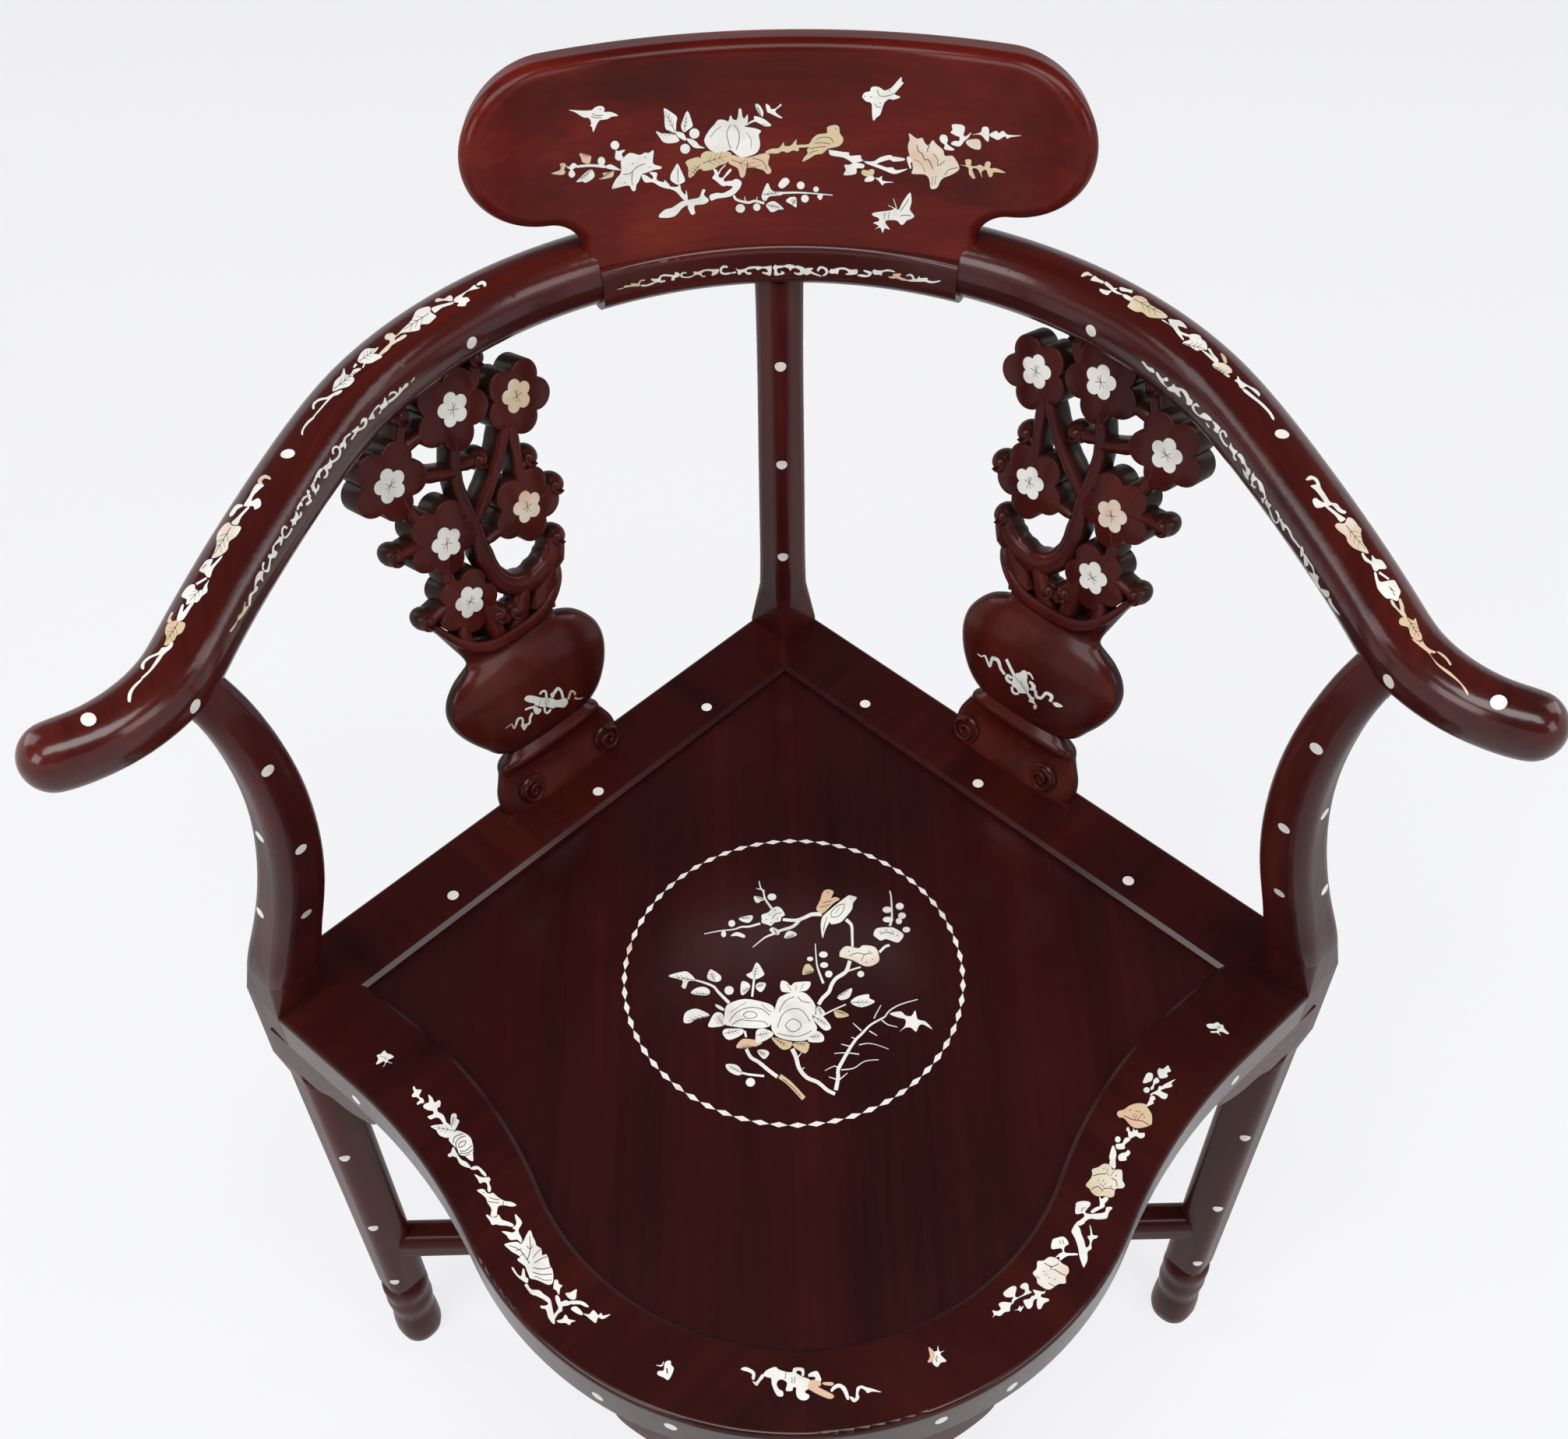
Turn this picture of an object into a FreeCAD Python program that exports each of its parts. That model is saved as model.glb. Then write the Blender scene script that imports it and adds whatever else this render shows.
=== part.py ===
import FreeCAD, Part
import Sketcher
import math
import os

# Corner chair, mortised hardwood with shell inlay. Millimetres, +Z up, sitter faces -Y.
# The origin is on the floor, under the middle of the bounding box.

Vector = FreeCAD.Vector
Rotation = FreeCAD.Rotation
Placement = FreeCAD.Placement
UP = Vector(0, 0, 1)

document = FreeCAD.newDocument("corner_chair")

# Driving dimensions
sheet = document.addObject("Spreadsheet::Sheet", "sizes")
driving = [
    ("seat_height", 450, "floor to the top of the seat frame"),
    ("rail_height", 29, "seat frame, top to bottom"),
    ("rail_width", 50.4, "seat frame, outer face to the recess"),
    ("back_corner", 296.5, "Y of the rear corner of the seat frame"),
    ("side_corner", -27.5, "Y of the two side corners"),
    ("post_square", 32, "side of the square block where a post meets the frame"),
    ("recess", 6, "panel top below the frame top"),
    ("panel_thick", 10, "seat panel"),
    ("tongue_thick", 7, "tongue round the panel, and the groove that holds it"),
    ("tongue_reach", 6.5, "tongue beyond the recess line"),
    ("groove_reach", 7, "groove beyond the recess line"),
    ("edge_round", 3, "rounding of the frame's top outer edge"),
    ("lip_bevel", 2.5, "bevel round the recess"),
    ("bow_center", -99.1, "Y of the centre of the front bow"),
    ("bow_outer", 200, "radius of the bow's outer face"),
    ("bow_inner", 154.5, "radius of the recess along the bow"),
    ("hollow_outer", 343, "radius of the hollow beside the bow, outer face"),
    ("hollow_inner", 300, "radius of the same hollow at the recess"),
    ("front_angle_outer", 42, "slope of the straight start of the front rail"),
    ("front_angle_inner", 40, "the same at the recess"),
    ("tenon_long", 10, "length of a frame tenon inside its post"),
    ("tenon_wide", 10, "width of a frame tenon"),
    ("tenon_high", 17, "height of a frame tenon"),
    ("bracket_thick", 18, "corner brackets under the frame"),
    ("bracket_deep", 33, "depth of a bracket at its post"),
    ("bracket_long", 79, "length of a bracket from its post"),
    ("leg_square", 30, "side of a leg's rounded square section"),
    ("side_leg_x", 292.5, "X of the side legs' axis at the stretchers"),
    ("side_leg_y", -35, "Y of the side legs' axis at the stretchers"),
    ("front_leg_y", -268, "Y of the front leg's axis"),
    ("back_leg_y", 267, "Y of the back leg's axis"),
    ("bar_wide", 22, "stretchers, width"),
    ("bar_high", 24.5, "stretchers, height"),
    ("bar_round", 8, "stretchers, rounding of the long edges"),
    ("bar_center", 137, "height of the stretchers' middle"),
    ("batten_wide", 30, "battens under the panel"),
    ("batten_thick", 11, "battens, thickness"),
    ("batten_back_y", 60, "Y of the rear batten"),
    ("batten_front_y", -110, "Y of the front batten"),
    ("arm_height", 757, "height of the middle of the arms"),
    ("yoke_radius", 247.5, "radius of the back curve of the arms"),
    ("yoke_center", 27, "Y of the middle of that curve"),
    ("yoke_joint", 26, "half angle of the middle rail of the back"),
    ("yoke_end", 72, "angle where the back curve ends"),
    ("side_radius", 1160, "radius of the arm between the back curve and the post"),
    ("side_heading", 10.5, "heading of the arm, off straight ahead, at the post"),
    ("side_straight", 13, "straight run of the arm between the post and its curl"),
    ("curl_radius", 75, "radius of the outward curl of the arm's end"),
    ("curl_heading", 68, "heading where the curl ends"),
    ("curl_cap", 16, "rounded end of the arm"),
    ("middle_wide", 42, "middle rail, front to back"),
    ("middle_high", 30, "middle rail, top to bottom"),
    ("middle_base", 736, "underside of the middle rail"),
    ("head_lean", 8, "backward lean of the headboard"),
    ("head_front", 254, "Y of the headboard's face at its base height"),
    ("head_base", 750, "height from which the headboard's outline is drawn"),
    ("head_hollow", 260, "radius of the headboard's hollow face"),
    ("head_thick", 24, "headboard"),
    ("head_neck", 110, "half width of the headboard's neck"),
    ("head_fillet", 20, "rounding between neck and lobe"),
    ("lobe_x", 123, "X of the middle of a lobe"),
    ("lobe_up", 86, "the same, up the slope"),
    ("lobe_radius", 44.5, "radius of a lobe"),
    ("head_round", 7, "rounding of the headboard's edges"),
    ("dowel_size", 8, "dowels between middle rail and headboard, diameter"),
    ("dowel_long", 32, "the same, length"),
    ("dowel_apart", 70, "X of the outer dowels"),
    ("middle_round", 13, "rounding of the middle rail's underside"),
    ("middle_ease", 4, "rounding of the middle rail's top edges"),
    ("front_leg_block", -274, "Y of the front leg's axis at the frame"),
    ("leg_tenon_long", 26, "tenon of the front leg, height"),
    ("leg_tenon_deep", 12, "the same, front to back"),
    ("leg_tenon_wide", 14, "the same, width"),
    ("key_long", 40, "key between the halves of the front rail"),
    ("key_deep", 9, "the same, front to back"),
    ("key_high", 13, "the same, height"),
    ("splat_tenon_long", 60, "tenon under a splat"),
    ("splat_tenon_thick", 8, "tenons of a splat, thickness"),
    ("splat_tenon_high", 34, "tenon under a splat, height"),
    ("bar_tenon_long", 34, "tenons of the stretchers"),
    ("bar_tenon_wide", 10, "the same, width"),
    ("bar_tenon_high", 15, "the same, height"),
    ("post_tenon", 11, "tenon of a side post in the arm, across"),
    ("back_tenon", 13, "tenon of the back post in the middle rail, across"),
    ("yoke_tongue_long", 40, "loose tongue between arm and middle rail"),
    ("yoke_tongue_thick", 12, "the same, thickness"),
    ("yoke_tongue_high", 16, "the same, height"),
    ("splat_x", 139.5, "X of the middle of a splat's foot"),
    ("splat_y", 130, "Y of the middle of a splat's foot"),
    ("splat_lean", 13.2, "outward lean of a splat"),
    ("splat_thick", 19, "splat"),
    ("vase_round", 6, "rounding of the vase's edges"),
    ("branch_thick", 14, "thickness of a splat's branches"),
    ("ring_radius", 101, "ring of diamonds on the panel"),
    ("ring_y", -22.5, "Y of the ring's middle"),
    ("ring_count", 60, "diamonds in the ring"),
    ("diamond_wide", 3.4, "diamond, across the ring"),
    ("shell_thick", 1.5, "shell plates"),
    ("dot_size", 7, "round shell dots, diameter"),
]
for row, (alias, value, meaning) in enumerate(driving, start=1):
    sheet.set("A%d" % row, meaning)
    sheet.set("B%d" % row, str(value))
    sheet.setAlias("B%d" % row, alias)
document.recompute()


def size(alias):
    return float(getattr(sheet, alias))


SEAT = size("seat_height")
RAIL_BASE = SEAT - size("rail_height")
PANEL_TOP = SEAT - size("recess")
HALF_DIAGONAL = size("post_square") * math.sqrt(0.5)
SIDE_X = size("back_corner") - size("side_corner")
INNER_BACK = size("back_corner") - size("rail_width") * math.sqrt(2)
SIDE_POST = Vector(SIDE_X - HALF_DIAGONAL, size("side_corner"), 0)
BACK_POST = Vector(0, size("back_corner") - HALF_DIAGONAL, 0)
FRONT_POST = Vector(0, size("front_leg_block"), 0)

pieces = {}


# Document helpers
def feature(label, shape):
    """An object that holds a shape made by Part's functions."""
    result = document.addObject("Part::Feature", label)
    result.Shape = shape
    result.Label = label
    return result


def keep(name, item):
    """Name an object as one of the chair's pieces."""
    item.Label = name
    pieces[name] = item
    return item


def mirrored(name, source):
    """The left-hand twin of a right-hand piece."""
    twin = document.addObject("Part::Mirroring", name)
    twin.Source = source
    twin.Normal = Vector(1, 0, 0)
    twin.Base = Vector(0, 0, 0)
    return keep(name, twin)


def block(name, sizes, center, turn=0, lean=None):
    """A box with its middle at center, turned about the vertical, sizes as expressions."""
    item = document.addObject("Part::Box", name)
    values = []
    for prop, expression in zip(("Length", "Width", "Height"), sizes):
        item.setExpression(prop, expression)
        values.append(float(item.evalExpression(expression)))
    rotation = Rotation(UP, turn)
    if lean is not None:
        rotation = lean
    corner = rotation.multVec(Vector(-values[0] / 2, -values[1] / 2, -values[2] / 2))
    item.Placement = Placement(center + corner, rotation)
    return item


def united(name, *items):
    result = document.addObject("Part::MultiFuse", name)
    result.Shapes = list(items)
    return result


def reduced(name, base, *tools):
    result = document.addObject("Part::Cut", name)
    result.Base = base
    result.Tool = tools[0] if len(tools) == 1 else united(name + "_tools", *tools)
    return result


def shape_of(item):
    document.recompute()
    return item.Shape


def body_at(name, place):
    body = document.addObject("PartDesign::Body", name)
    body.Placement = place
    return body


def sketch_on(body, name, role, offset=0.0):
    sketch = body.newObject("Sketcher::SketchObject", name)
    plane = [p for p in body.Origin.OriginFeatures if p.Role == role][0]
    sketch.AttachmentSupport = [(plane, "")]
    sketch.MapMode = "FlatFace"
    sketch.AttachmentOffset = Placement(Vector(0, 0, offset), Rotation())
    return sketch


def pin(sketch, geometry, point, axis, expression):
    """Hold one coordinate of a sketch point at the value of an expression."""
    value = float(sketch.evalExpression(expression))
    if abs(value) < 1e-9:
        line = -2 if axis == "DistanceX" else -1
        sketch.addConstraint(Sketcher.Constraint("PointOnObject", geometry, point, line))
        return
    if value > 0:
        held = Sketcher.Constraint(axis, -1, 1, geometry, point, value)
        text = expression
    else:
        held = Sketcher.Constraint(axis, geometry, point, -1, 1, -value)
        text = "-(%s)" % expression
    index = sketch.addConstraint(held)
    sketch.setExpression("Constraints[%d]" % index, text)


def polygon(sketch, corners):
    """A closed polygon whose corners are pairs of expressions."""
    points = [Vector(float(sketch.evalExpression(a)), float(sketch.evalExpression(b)), 0)
              for a, b in corners]
    count = len(points)
    first = sketch.GeometryCount
    for i in range(count):
        sketch.addGeometry(Part.LineSegment(points[i], points[(i + 1) % count]), False)
    for i in range(count):
        sketch.addConstraint(Sketcher.Constraint("Coincident", first + i, 2, first + (i + 1) % count, 1))
    for i, (a, b) in enumerate(corners):
        pin(sketch, first + i, 1, "DistanceX", a)
        pin(sketch, first + i, 1, "DistanceY", b)
    return sketch


def circle(sketch, center, radius):
    """A circle on the sketch's vertical axis, its centre and radius as expressions."""
    middle = Vector(0, float(sketch.evalExpression(center)), 0)
    span = float(sketch.evalExpression(radius))
    index = sketch.addGeometry(Part.Circle(middle, Vector(0, 0, 1), span), False)
    pin(sketch, index, 3, "DistanceX", "0")
    pin(sketch, index, 3, "DistanceY", center)
    row = sketch.addConstraint(Sketcher.Constraint("Radius", index, span))
    sketch.setExpression("Constraints[%d]" % row, radius)
    return index


def padded(body, name, sketch, length, both_ways=False):
    pad = body.newObject("PartDesign::Pad", name)
    pad.Profile = sketch
    pad.setExpression("Length", length)
    pad.Midplane = both_ways
    document.recompute()
    return pad


def pocketed(body, name, sketch, length, reverse=False, both_ways=False):
    before = body.Shape.Volume
    pocket = body.newObject("PartDesign::Pocket", name)
    pocket.Profile = sketch
    pocket.setExpression("Length", length)
    pocket.Reversed = reverse
    pocket.Midplane = both_ways
    document.recompute()
    if body.Shape.Volume > before - 1:
        raise RuntimeError(name + " cuts nothing")
    return pocket


def dressed(body, kind, name, base, edges, prop, expression):
    """Fillet or chamfer the edges of the last feature that a test accepts."""
    names = ["Edge%d" % (i + 1) for i, edge in enumerate(base.Shape.Edges) if edges(edge)]
    dress = body.newObject("PartDesign::" + kind, name)
    dress.Base = (base, names)
    dress.setExpression(prop, expression)
    document.recompute()
    return dress


# Shape helpers
def line(a, b):
    return Part.LineSegment(a, b).toShape()


def arc(a, middle, b):
    return Part.Arc(a, middle, b).toShape()


def square_wire(x, y, z, side, radius):
    """A level square with rounded corners, turned so that a corner points forward."""
    half = side / 2.0
    inner = half - radius
    dip = radius * (1 - math.sqrt(0.5))
    edges = []
    for quarter in range(4):
        turn = Rotation(UP, 45 + 90 * quarter)
        spots = [Vector(half, -inner, 0), Vector(half, inner, 0),
                 Vector(half - dip, half - dip, 0), Vector(inner, half, 0)]
        a, b, c, d = [turn.multVec(p) + Vector(x, y, z) for p in spots]
        edges += [line(a, b), arc(b, c, d)]
    return Part.Wire(edges)


def outward(solid):
    """The same solid with its faces pointing outwards."""
    return solid if solid.Volume > 0 else solid.reversed()


def stacked(runs):
    """Loft each run of sections (z, x, y, side, corner radius) and join the runs."""
    solids = []
    for run in runs:
        wires = [square_wire(x, y, z, side, radius) for z, x, y, side, radius in run]
        solids.append(outward(Part.makeLoft(wires, True, len(run) == 2)))
    whole = solids[0].fuse(solids[1:])
    return whole


def biggest(shape):
    return max(shape.Solids, key=lambda solid: solid.Volume)


def prism(wire, offset, height):
    """A wire drawn at z 0, raised by offset and extruded upwards."""
    face = Part.Face(wire)
    face.translate(Vector(0, 0, offset))
    return face.extrude(Vector(0, 0, height))


def flip(vector):
    return Vector(-vector.x, vector.y, vector.z)


# The wavy front line: straight, hollow, then bow, from a start point to the middle
def front_line(start, angle, hollow, bow):
    slope = math.radians(angle)
    along = Vector(-math.cos(slope), -math.sin(slope), 0)
    across = Vector(math.sin(slope), -math.cos(slope), 0)
    bow_middle = Vector(0, size("bow_center"), 0)
    reach = start + across * hollow - bow_middle
    shadow = reach.dot(along)
    straight = -shadow - math.sqrt(shadow ** 2 - reach.dot(reach) + (bow + hollow) ** 2)
    corner = start + along * straight
    middle = corner + across * hollow
    meet = bow_middle + (middle - bow_middle) * (bow / (bow + hollow))
    halfway = middle + ((corner - middle) + (meet - middle)).normalize() * hollow
    tip = Vector(0, bow_middle.y - bow, 0)
    turn = bow_middle + ((meet - bow_middle) + (tip - bow_middle)).normalize() * bow
    return [line(start, corner), arc(corner, halfway, meet), arc(meet, turn, tip)]


FRONT_CORNER = Vector(SIDE_POST.x, SIDE_POST.y - HALF_DIAGONAL, 0)
INNER_SIDE = Vector(INNER_BACK - size("side_corner"), size("side_corner"), 0)
OUTER_EDGES = front_line(FRONT_CORNER, size("front_angle_outer"), size("hollow_outer"), size("bow_outer"))
INNER_EDGES = front_line(INNER_SIDE, size("front_angle_inner"), size("hollow_inner"), size("bow_inner"))
INNER_PEAK = Vector(0, INNER_BACK, 0)


def mirror_edges(edges):
    plane = Vector(1, 0, 0)
    return [edge.mirror(Vector(0, 0, 0), plane) for edge in edges]


recess_edges = [line(INNER_PEAK, INNER_SIDE)] + INNER_EDGES
recess_edges += mirror_edges(recess_edges)
recess_wire = Part.Wire(Part.__sortEdges__(recess_edges))
tongue_wire = recess_wire.makeOffset2D(size("tongue_reach"), 2)
groove_wire = recess_wire.makeOffset2D(size("groove_reach"), 2)
GROOVE_BASE = PANEL_TOP - size("tongue_thick")
groove_ring = prism(groove_wire, GROOVE_BASE, size("tongue_thick"))

# Seat panel: a floating board with a tongue, and the ring of diamonds let into it
panel_blank = prism(tongue_wire, GROOVE_BASE, size("tongue_thick"))
under = size("panel_thick") - size("tongue_thick")
panel_blank = panel_blank.fuse(prism(recess_wire.makeOffset2D(-0.3, 2), GROOVE_BASE - under, under))
panel_blank = panel_blank.removeSplitter()


def diamond_ring(height, depth):
    """Tip-to-tip diamonds round a circle."""
    radius = size("ring_radius")
    count = int(size("ring_count"))
    half_long = math.pi * radius / count - 0.25
    half_wide = size("diamond_wide") / 2
    corners = [Vector(radius, -half_long, 0), Vector(radius + half_wide, 0, 0),
               Vector(radius, half_long, 0), Vector(radius - half_wide, 0, 0)]
    wire = Part.makePolygon(corners + corners[:1])
    diamond = prism(wire, height - depth, depth)
    ring = []
    for i in range(count):
        copy = diamond.copy()
        copy.rotate(Vector(0, 0, 0), UP, 360.0 * i / count)
        copy.translate(Vector(0, size("ring_y"), 0))
        ring.append(copy)
    return Part.makeCompound(ring)


diamonds = diamond_ring(PANEL_TOP, size("shell_thick"))
keep("seat_panel", feature("panel_board", panel_blank.cut(diamonds)))
keep("medallion_ring", feature("ring_plates", diamonds))

# Battens: boards under the panel, let into the frame at both ends
BATTEN_TOP = PANEL_TOP - size("panel_thick")
battens = {}
for place, alias, half in (("back", "batten_back_y", 174), ("front", "batten_front_y", 190)):
    body = body_at("batten_" + place + "_body", Placement(Vector(0, size(alias), BATTEN_TOP), Rotation()))
    outline = sketch_on(body, "batten_%s_outline" % place, "XY_Plane")
    half_width = "sizes.batten_wide / 2"
    polygon(outline, [(str(-half), "-" + half_width), (str(half), "-" + half_width),
                      (str(half), half_width), (str(-half), half_width)])
    pad = padded(body, "batten_%s_board" % place, outline, "sizes.batten_thick")
    pad.Reversed = True
    document.recompute()
    battens[place] = keep("seat_batten_" + place, body)

# Frame tenons and bracket tongues, shared by the pieces that they join
joint_height = RAIL_BASE + 4 + size("tenon_high") / 2


def rail_tenon(name, face_middle, direction):
    """A tenon from 6 mm inside a rail's end to its full length inside the post."""
    inside = 6.0
    middle = face_middle + direction * ((size("tenon_long") - inside) / 2)
    middle.z = joint_height
    turn = math.degrees(math.atan2(direction.y, direction.x))
    return block(name, ("sizes.tenon_long + 6", "sizes.tenon_wide", "sizes.tenon_high"), middle, turn)


quarter = HALF_DIAGONAL / 2
diagonal = math.sqrt(0.5)
tenon_back_rail_rear = rail_tenon("tenon_back_rail_rear", BACK_POST + Vector(quarter, -quarter, 0),
                                  Vector(-diagonal, diagonal, 0))
tenon_back_rail_side = rail_tenon("tenon_back_rail_side", SIDE_POST + Vector(-quarter, quarter, 0),
                                  Vector(diagonal, -diagonal, 0))
tenon_front_rail = rail_tenon("tenon_front_rail", SIDE_POST + Vector(-quarter, -quarter, 0),
                              Vector(diagonal, diagonal, 0))
leg_tenon = block("tenon_front_leg", ("sizes.leg_tenon_wide", "sizes.leg_tenon_deep", "sizes.leg_tenon_long"),
                  FRONT_POST + Vector(0, -9, RAIL_BASE + 7))
rail_key = block("key_of_front_rails", ("sizes.key_long", "sizes.key_deep", "sizes.key_high"),
                 FRONT_POST + Vector(0, 5.5, RAIL_BASE + 11.5))
keep("front_rail_key", rail_key)
OUTWARD = Vector(diagonal, diagonal, 0)
splat_foot = Vector(size("splat_x"), size("splat_y"), SEAT)
splat_foot_tenon = block("tenon_splat_foot",
                         ("sizes.splat_tenon_long", "sizes.splat_tenon_thick", "sizes.splat_tenon_high"),
                         splat_foot + OUTWARD * (size("splat_thick") / 2) + Vector(0, 0, -1), -45)

# Back rail: a straight mitred bar between the back post and a side post
rail_body = body_at("back_rail_blank", Placement(Vector(0, 0, RAIL_BASE), Rotation()))
HALF = "sizes.post_square * sqrt(0.5)"
BACK = "sizes.back_corner"
SIDE = "sizes.side_corner"
INNER = "(sizes.back_corner - sizes.rail_width * sqrt(2))"
outline = sketch_on(rail_body, "back_rail_outline", "XY_Plane")
polygon(outline, [
    ("0", INNER),
    ("0", "%s - 2 * %s" % (BACK, HALF)),
    (HALF, "%s - %s" % (BACK, HALF)),
    ("%s - %s - %s" % (BACK, SIDE, HALF), "%s + %s" % (SIDE, HALF)),
    ("%s - %s - 2 * %s" % (BACK, SIDE, HALF), SIDE),
    ("%s - %s" % (INNER, SIDE), SIDE),
])
rail_pad = padded(rail_body, "back_rail_bar", outline, "sizes.rail_height")
outer_line = size("back_corner")


def on_outer_top(edge):
    middle = edge.CenterOfMass
    return abs(middle.x + middle.y - outer_line) < 0.1 and middle.z > size("rail_height") - 0.1


def on_inner_top(edge):
    middle = edge.CenterOfMass
    return abs(middle.x + middle.y - INNER_BACK) < 0.1 and middle.z > size("rail_height") - 0.1


rail_round = dressed(rail_body, "Fillet", "back_rail_round", rail_pad, on_outer_top, "Radius", "sizes.edge_round")
rail_bevel = dressed(rail_body, "Chamfer", "back_rail_bevel", rail_round, on_inner_top, "Size", "sizes.lip_bevel")
groove = sketch_on(rail_body, "back_rail_groove_line", "XY_Plane", GROOVE_BASE - RAIL_BASE)
REACH = "sizes.groove_reach * sqrt(2)"
polygon(groove, [
    ("0", "%s - 5" % INNER),
    ("0", "%s + %s" % (INNER, REACH)),
    ("%s - %s + %s" % (INNER, SIDE, REACH), SIDE),
    ("%s - %s - 5" % (INNER, SIDE), SIDE),
])
pocketed(rail_body, "back_rail_groove", groove, "sizes.tongue_thick", reverse=True)

# Brackets under the frame: one profile, cut straight for the rails, bent for the bow
CORBEL = [(12, 1.0), (21, 0.93), (31, 0.74), (42, 0.68), (56, 0.55), (68, 0.36), (76, 0.17)]


def bracket_profile(shift, plan):
    """The side view of a bracket; plan gives the place on the ground at a distance from the post."""
    deep = size("bracket_deep")
    spots = [plan(reach) + UP * (RAIL_BASE - deep * part) for reach, part in CORBEL]
    tip = plan(size("bracket_long")) + UP * RAIL_BASE
    curve = Part.BSplineCurve()
    curve.interpolate(spots + [tip])
    top = plan(shift) + UP * RAIL_BASE
    low = plan(shift) + UP * (RAIL_BASE - deep)
    return Part.Wire([line(top, low), line(low, spots[0]), curve.toShape(), line(tip, top)])


def straight_bracket(corner, direction, facing_out):
    """A bracket from a post's corner along a straight outer face."""
    face = Part.Face(bracket_profile(-18, lambda reach: corner + direction * reach))
    return outward(face.extrude(facing_out * -size("bracket_thick")))


slope = math.radians(size("front_angle_outer"))
rear_bracket = straight_bracket(BACK_POST + Vector(HALF_DIAGONAL, 0, 0),
                                Vector(diagonal, -diagonal, 0), OUTWARD)
side_back_bracket = straight_bracket(SIDE_POST + Vector(0, HALF_DIAGONAL, 0),
                                     Vector(-diagonal, diagonal, 0), OUTWARD)
side_front_bracket = straight_bracket(FRONT_CORNER, Vector(-math.cos(slope), -math.sin(slope), 0),
                                      Vector(math.sin(slope), -math.cos(slope), 0))
bow_middle = Vector(0, size("bow_center"), 0)


def bow_place(s):
    """X on the bow's outer face at a distance s from the front leg's block."""
    start = math.asin(HALF_DIAGONAL / size("bow_outer"))
    return Vector(size("bow_outer") * math.sin(start + s / size("bow_outer")), 0, 0)


bow_slab = outward(Part.Face(bracket_profile(-14, bow_place)).extrude(Vector(0, -320, 0)))
ring_outer = Part.makeCylinder(size("bow_outer"), 60, bow_middle + Vector(0, 0, RAIL_BASE - 50))
ring_inner = Part.makeCylinder(size("bow_outer") - size("bracket_thick"), 60,
                               bow_middle + Vector(0, 0, RAIL_BASE - 50))
front_bracket = biggest(bow_slab.common(ring_outer.cut(ring_inner)))


def bracket_tongue(name, spot, turn):
    return block(name, ("40", "6", "9"), Vector(spot.x, spot.y, RAIL_BASE), turn)


along_rear = BACK_POST + Vector(HALF_DIAGONAL, 0, 0) + Vector(diagonal, -diagonal, 0) * 34 - OUTWARD * 9
along_side = SIDE_POST + Vector(0, HALF_DIAGONAL, 0) + Vector(-diagonal, diagonal, 0) * 34 - OUTWARD * 9
along_front = (FRONT_CORNER + Vector(-math.cos(slope), -math.sin(slope), 0) * 34
               - Vector(math.sin(slope), -math.cos(slope), 0) * 9)
bow_turn = math.asin(HALF_DIAGONAL / size("bow_outer")) + 34 / size("bow_outer")
along_bow = bow_middle + Vector(math.sin(bow_turn), -math.cos(bow_turn), 0) * (size("bow_outer") - 9)
tongue_rear = bracket_tongue("tongue_rear", along_rear, -45)
tongue_side_back = bracket_tongue("tongue_side_back", along_side, -45)
tongue_side_front = bracket_tongue("tongue_side_front", along_front, size("front_angle_outer"))
tongue_front = bracket_tongue("tongue_front", along_bow, math.degrees(bow_turn))

# Front rail: half of the wavy front, from a side post to the seam above the front leg
mitre_corner = Vector(SIDE_POST.x - HALF_DIAGONAL, SIDE_POST.y, 0)
outer_tip = OUTER_EDGES[-1].Vertexes[-1].Point
inner_tip = INNER_EDGES[-1].Vertexes[-1].Point
front_edges = [line(INNER_SIDE, mitre_corner), line(mitre_corner, FRONT_CORNER)] + OUTER_EDGES
front_edges += [line(outer_tip, inner_tip)] + INNER_EDGES
front_wire = Part.Wire(Part.__sortEdges__(front_edges))
front_solid = prism(front_wire, RAIL_BASE, size("rail_height"))


def along_edges(group, shape):
    """Top edges of a shape that follow a group of plan edges."""
    path = Part.Wire(group)
    path.translate(Vector(0, 0, SEAT))
    found = []
    for edge in shape.Edges:
        middle = edge.valueAt((edge.FirstParameter + edge.LastParameter) / 2)
        spots = [edge.Vertexes[0].Point, middle, edge.Vertexes[-1].Point]
        if all(Part.Vertex(p).distToShape(path)[0] < 0.01 for p in spots):
            found.append(edge)
    return found


front_solid = front_solid.makeFillet(size("edge_round"), along_edges(OUTER_EDGES, front_solid))
front_solid = front_solid.makeChamfer(size("lip_bevel"), along_edges(INNER_EDGES, front_solid))
front_solid = front_solid.cut(groove_ring)
front_blank = feature("front_rail_blank", front_solid)

# Posts and legs: square block at the frame, rounded square above and below
FOOT = [(0, 30, 13.5), (6, 32.4, 14.6), (15, 33, 15), (26, 32.2, 15), (32, 31, 14.4), (36, 30.5, 14),
        (41, 31.4, 14.6), (50, 33, 15), (60, 31.6, 13.5), (75, 29.2, 10)]
BLOCK_LOW = 380.0
BLOCK_EASE = 0.8
ANKLE_TOP = 84.0
BLOCK_TOP = SEAT + 1


def leg_runs(x, y, inward, top):
    """The foot, which leans inwards a little, and the shaft up to a section under the block."""
    foot = []
    for z, width, radius in FOOT:
        share = 1 - z / ANKLE_TOP
        foot.append((z, x + inward.x * share, y + inward.y * share, width, radius))
    foot.append((ANKLE_TOP, x, y, size("leg_square"), 9))
    return [foot, [foot[-1], top]]


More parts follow.
